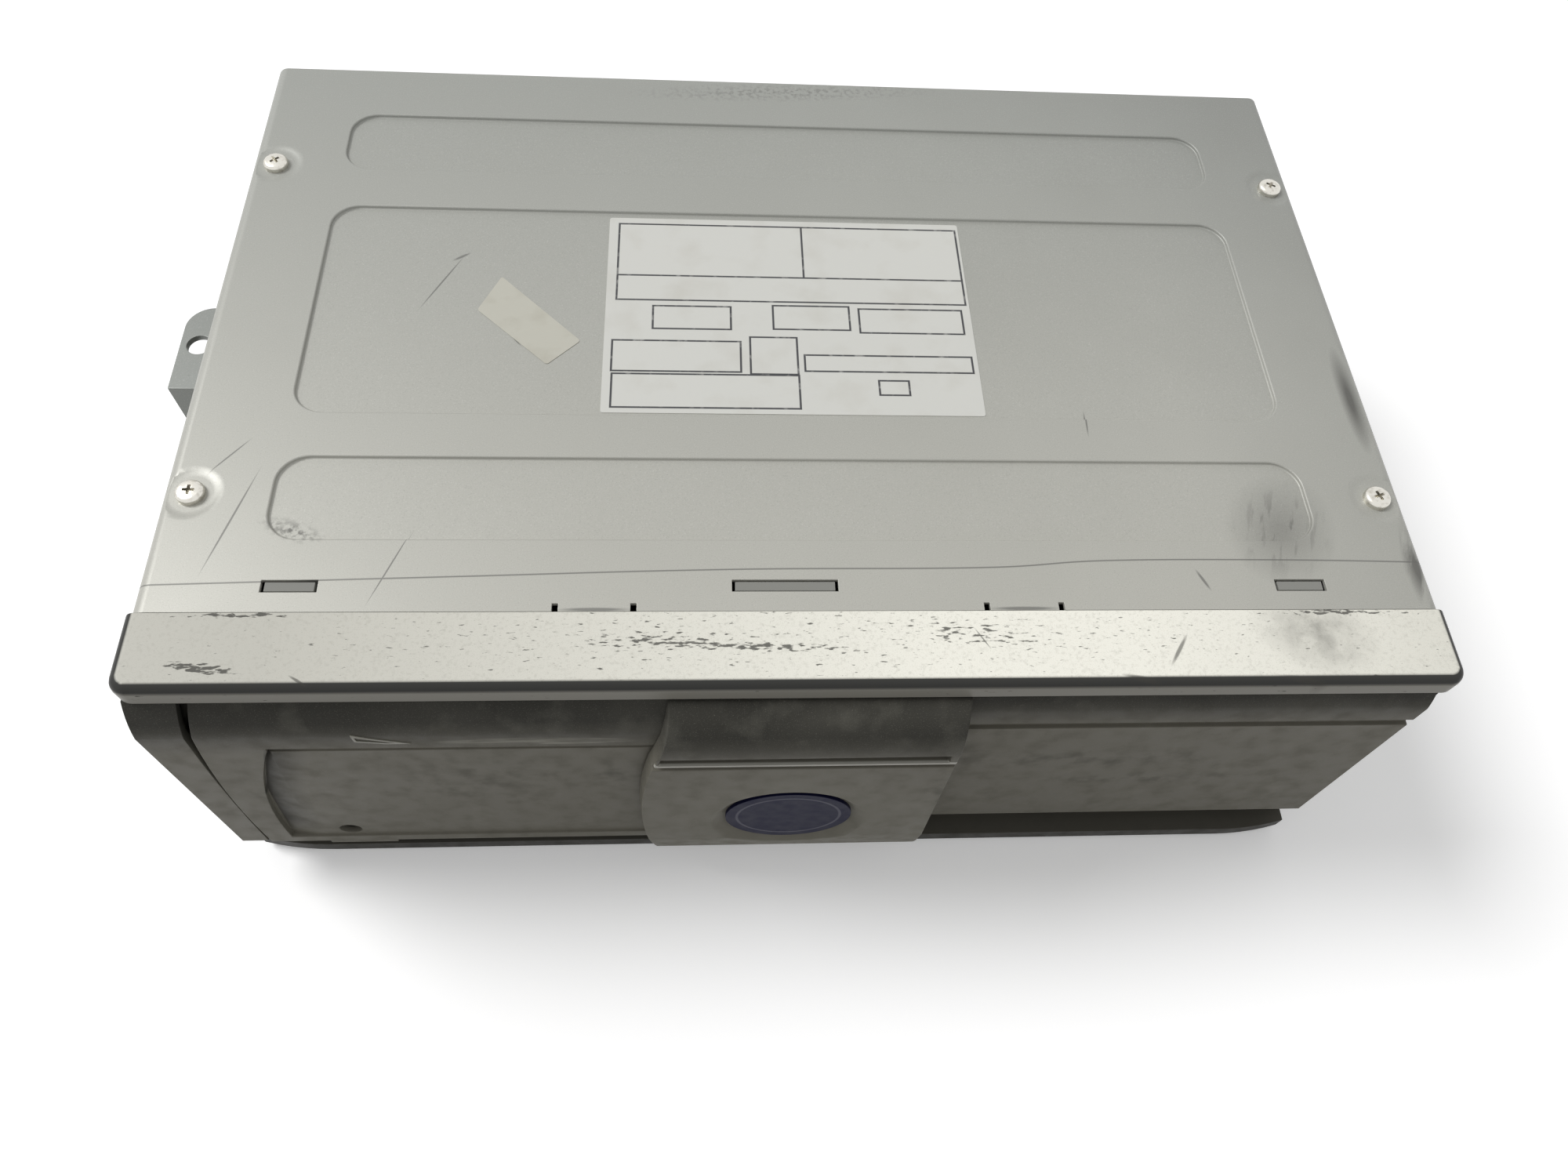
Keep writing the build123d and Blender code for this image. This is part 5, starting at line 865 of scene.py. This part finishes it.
def pan_screw():
    """A pan-head screw standing on the origin: a domed head with a cross recess."""
    sizes = bpy.context.scene.changer_sizes
    radius, rise = sizes.screw_radius, sizes.screw_rise
    nothing_selected()
    bpy.ops.mesh.primitive_cylinder_add(vertices=32, radius=radius, depth=rise, location=(0, 0, rise / 2))
    screw = bpy.context.object
    settle(screw)
    bpy.ops.object.mode_set(mode="EDIT")
    pick(screw, "EDGE", lambda edge: all(vertex.co.z > 0.9 * rise for vertex in edge.verts))
    bpy.ops.mesh.bevel(offset=DOME_WIDTH * rise, segments=5, affect="EDGES")
    pick(screw, "FACE", lambda face: face.normal.z > 0.99 and face.calc_area() > 0.2 * radius**2)
    bpy.ops.mesh.inset(thickness=CROWN_INSET * radius)
    bpy.ops.transform.translate(value=(0, 0, CROWN_RISE * rise))
    bpy.ops.object.mode_set(mode="OBJECT")
    cutter = cross_cutter(radius)
    cutter.location.z = CROSS_MIDDLE * rise
    bpy.context.view_layer.update()
    apply_modifier(screw, "BOOLEAN", object=cutter, operation="DIFFERENCE", solver="EXACT", use_self=True)
    bpy.data.objects.remove(cutter)
    return screw


def copy_to(pattern, name, place, turn):
    """Copies a small plated piece to a place on the case, with a mesh of its own."""
    only(pattern)
    bpy.ops.object.duplicate()
    piece = bpy.context.object
    piece.rotation_euler = turn
    piece.location = place
    settle(piece)
    hand_over(piece, name, "case", finish("screw_steel"))


def paper(name, corners, z, material):
    """A thin paper with these corners, lying at this height."""
    thick = bpy.context.scene.changer_sizes.paper
    nothing_selected()
    bpy.ops.mesh.primitive_plane_add(size=1)
    sheet = bpy.context.object
    for vertex, corner in zip(sheet.data.vertices, (corners[0], corners[1], corners[3], corners[2])):
        vertex.co = (*corner, z)
    bpy.ops.object.mode_set(mode="EDIT")
    bpy.ops.mesh.select_all(action="SELECT")
    bpy.ops.mesh.normals_make_consistent(inside=False)
    bpy.ops.mesh.extrude_region_move(TRANSFORM_OT_translate={"value": (0, 0, thick)})
    pick(sheet, "EDGE", lambda edge: abs(edge.verts[0].co.z - edge.verts[1].co.z) > thick / 2)
    bpy.ops.mesh.bevel(offset=PAPER_CORNER, segments=3, affect="EDGES")
    bpy.ops.mesh.select_all(action="SELECT")
    bpy.ops.mesh.normals_make_consistent(inside=False)
    bpy.ops.object.mode_set(mode="OBJECT")
    hand_over(sheet, name, "case", finish(material))


class DressCase(bpy.types.Operator):
    """Rounds and paints the steel case, its bracket and the sheet parts inside"""

    bl_idname = "changer.dress_case"
    bl_label = "Steel case"

    def execute(self, context):
        soften_all(CASE)
        return {"FINISHED"}


class DressFront(bpy.types.Operator):
    """Rounds and paints the front moulding, the door with its handle and badge, and the eject button"""

    bl_idname = "changer.dress_front"
    bl_label = "Front and door"

    def execute(self, context):
        soften_all(FRONT)
        return {"FINISHED"}


class DressMagazine(bpy.types.Operator):
    """Rounds and colours the magazine and its ten trays"""

    bl_idname = "changer.dress_magazine"
    bl_label = "Magazine"

    def execute(self, context):
        soften_all(MAGAZINE)
        return {"FINISHED"}


class DressPlayer(bpy.types.Operator):
    """Rounds and colours the lifting deck, its drives, the turntable, the clamp, the pickup and the loader"""

    bl_idname = "changer.dress_player"
    bl_label = "Lifting player"

    def execute(self, context):
        done = set(CASE + FRONT + MAGAZINE + SOCKETS)
        soften_all(node for node in sorted(frame["nodes"]) if node not in done)
        return {"FINISHED"}


class DressSockets(bpy.types.Operator):
    """Finishes the boards and the rear sockets, and adds the contacts in the round socket"""

    bl_idname = "changer.dress_sockets"
    bl_label = "Boards and sockets"

    def execute(self, context):
        soften_all(SOCKETS)
        low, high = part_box("bus_socket")
        x, z = (low.x + high.x) / 2, (low.z + high.z) / 2
        floor = high.y - SOCKET_DEPTH
        nothing_selected()
        bpy.ops.mesh.primitive_cylinder_add(
            vertices=12, radius=CONTACT_RADIUS, depth=CONTACT_LENGTH, location=(0, 0, CONTACT_LENGTH / 2)
        )
        pin = context.object
        settle(pin)
        bpy.ops.object.mode_set(mode="EDIT")
        pick(pin, "EDGE", lambda edge: all(vertex.co.z > 0.9 * CONTACT_LENGTH for vertex in edge.verts))
        bpy.ops.mesh.bevel(offset=CONTACT_TIP, segments=3, affect="EDGES")
        bpy.ops.object.mode_set(mode="OBJECT")
        steps = [(radius, step, count) for radius, count in CONTACT_RINGS for step in range(count)]
        for number, (radius, step, count) in enumerate(steps, 1):
            angle = 2 * math.pi * step / count
            place = (x + radius * math.cos(angle), floor, z + radius * math.sin(angle))
            copy_to(pin, f"bus_contact_{number:02d}", place, (-math.pi / 2, 0, 0))
        bpy.data.objects.remove(pin)
        return {"FINISHED"}


class DriveScrews(bpy.types.Operator):
    """Drives the pan-head screws into the cover's dimples, the bracket and the rear panel"""

    bl_idname = "changer.drive_screws"
    bl_label = "Screws"

    def execute(self, context):
        screw = pan_screw()
        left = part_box("side_bracket")[1].x - BRACKET_SHEET
        seats = [
            ((x, y, DIMPLE_FLOOR), (0, 0, SCREW_TURN_STEP * number))
            for number, (x, y) in enumerate(SCREW_PLACES)
        ]
        seats += [((left, y, z), (0, -math.pi / 2, 0)) for y, z in SIDE_SCREW_PLACES]
        seats += [((x, REAR, z), (-math.pi / 2, REAR_SCREW_TURN, 0)) for x, z in REAR_SCREW_PLACES]
        for number, (place, turn) in enumerate(seats, 1):
            copy_to(screw, f"case_screw_{number:02d}", place, turn)
        bpy.data.objects.remove(screw)
        return {"FINISHED"}


class StickPapers(bpy.types.Operator):
    """Sticks the ruled white label and the bare price sticker on the cover"""

    bl_idname = "changer.stick_papers"
    bl_label = "Label and sticker"

    def execute(self, context):
        sizes = context.scene.changer_sizes
        (x, y), half, deep = LABEL_MIDDLE, sizes.label_width / 2, sizes.label_depth / 2
        corners = ((x - half, y - deep), (x + half, y - deep), (x + half, y + deep), (x - half, y + deep))
        paper("paper_label", corners, PRESS_FLOOR, "label_paper")
        paper("price_sticker", STICKER_CORNERS, PRESS_FLOOR, "sticker_paper")
        return {"FINISHED"}


class MarkDoor(bpy.types.Operator):
    """Raises the generic wedge arrow on the door's face"""

    bl_idname = "changer.mark_door"
    bl_label = "Door arrow"

    def execute(self, context):
        line = context.scene.changer_sizes.arrow_line
        door = bpy.data.objects["sliding_door_soft"]
        nothing_selected()
        bpy.ops.mesh.primitive_plane_add(size=1)
        arrow = context.object
        tip, top, low, heel = ARROW_CORNERS
        for vertex, (x, z) in zip(arrow.data.vertices, (low, heel, top, tip)):
            vertex.co = (x, 0, z)
        bpy.ops.object.mode_set(mode="EDIT")
        bpy.ops.mesh.select_all(action="SELECT")
        bpy.ops.mesh.inset(thickness=line)
        bpy.ops.mesh.delete(type="FACE")
        bpy.ops.mesh.select_all(action="SELECT")
        bpy.ops.mesh.subdivide(number_cuts=3)
        bpy.ops.object.mode_set(mode="OBJECT")
        for vertex in arrow.data.vertices:
            hit, place, _, _ = door.ray_cast((vertex.co.x, BEFORE_DOOR, vertex.co.z), (0, 1, 0))
            if not hit:
                raise RuntimeError("the arrow misses the door's face")
            vertex.co.y = place.y - ARROW_LIFT
        apply_modifier(arrow, "SOLIDIFY", thickness=ARROW_SHEET, offset=0)
        hand_over(arrow, "door_arrow", "door", finish("arrow_plastic"))
        return {"FINISHED"}


class BuildStage(bpy.types.Operator):
    """Sets up the floor, the lamp, the white surroundings and the camera"""

    bl_idname = "changer.build_stage"
    bl_label = "Stage"

    def execute(self, context):
        sizes = context.scene.changer_stage
        self.lay_floor(context, sizes)
        self.stand_camera(context, sizes)
        self.hang_lamp(context, sizes)
        self.light_surroundings(context, sizes)
        context.scene.view_settings.view_transform = "Standard"
        return {"FINISHED"}

    def lay_floor(self, context, sizes):
        """A floor that looks white and throws less light on the object than it seems to."""
        nothing_selected()
        bpy.ops.mesh.primitive_plane_add(size=sizes.floor_size)
        floor = context.object
        floor.name = "floor"
        pale = Finish("floor_pale")
        seen = self.seen(pale.material.node_tree)
        pale.shader.inputs["Emission Color"].default_value = (1, 1, 1, 1)
        pale.feed(pale.shader.inputs["Emission Strength"], pale.times(seen, FLOOR_GLOW))
        floor.data.materials.append(pale.done(pale.blend(seen, FLOOR_LIT, FLOOR_SEEN), 0.9))

    def stand_camera(self, context, sizes):
        """The camera of the photograph."""
        bpy.ops.object.camera_add(location=sizes.camera_place, rotation=sizes.camera_turn)
        camera = context.object
        camera.data.lens = sizes.lens
        camera.data.clip_start = CLIP_START
        context.scene.camera = camera

    def hang_lamp(self, context, sizes):
        """The soft lamp, high at the left rear."""
        bpy.ops.object.light_add(type="SUN", location=SUN_PLACE, rotation=SUN_TURN)
        context.object.data.energy = sizes.sun
        context.object.data.angle = SUN_SPREAD

    def light_surroundings(self, context, sizes):
        """White surroundings, which light the object less than they look."""
        world = bpy.data.worlds.new("studio")
        context.scene.world = world
        world.use_nodes = True
        tree = world.node_tree
        background = tree.nodes["Background"]
        background.inputs["Color"].default_value = (1, 1, 1, 1)
        level = tree.nodes.new("ShaderNodeMapRange")
        level.inputs["To Min"].default_value = sizes.sky
        tree.links.new(self.seen(tree), level.inputs["Value"])
        tree.links.new(level.outputs[0], background.inputs["Strength"])

    def seen(self, tree):
        """1 where the camera looks, also by way of metal and glass, and 0 for the light on the object."""
        rays = tree.nodes.new("ShaderNodeLightPath")
        strongest = rays.outputs["Is Camera Ray"]
        for kind in ("Is Glossy Ray", "Is Transmission Ray"):
            either = tree.nodes.new("ShaderNodeMath")
            either.operation = "MAXIMUM"
            tree.links.new(strongest, either.inputs[0])
            tree.links.new(rays.outputs[kind], either.inputs[1])
            strongest = either.outputs[0]
        return strongest


class ChangerPanel(bpy.types.Panel):
    """The sidebar panel that lists the builders"""

    bl_idname = "VIEW3D_PT_changer"
    bl_label = "Disc changer"
    bl_space_type = "VIEW_3D"
    bl_region_type = "UI"
    bl_category = "Disc changer"

    def draw(self, context):
        for builder in BUILDERS:
            self.layout.operator(builder.bl_idname)


BUILDERS = (
    DressCase,
    DressFront,
    DressMagazine,
    DressPlayer,
    DressSockets,
    DriveScrews,
    StickPapers,
    MarkDoor,
    BuildStage,
)
CLASSES = (ChangerSizes, ChangerColours, StageSizes) + BUILDERS + (ChangerPanel,)


def register():
    """Registers the classes and hangs the sizes on the scene."""
    for kind in CLASSES:
        bpy.utils.register_class(kind)
    bpy.types.Scene.changer_sizes = bpy.props.PointerProperty(type=ChangerSizes)
    bpy.types.Scene.changer_colours = bpy.props.PointerProperty(type=ChangerColours)
    bpy.types.Scene.changer_stage = bpy.props.PointerProperty(type=StageSizes)


def unregister():
    """Takes the sizes and the classes away again."""
    del bpy.types.Scene.changer_stage
    del bpy.types.Scene.changer_colours
    del bpy.types.Scene.changer_sizes
    for kind in reversed(CLASSES):
        bpy.utils.unregister_class(kind)


def main():
    """Builds everything in order."""
    register()
    for builder in BUILDERS:
        group, name = builder.bl_idname.split(".")
        getattr(getattr(bpy.ops, group), name)()


if __name__ == "__main__":
    main()
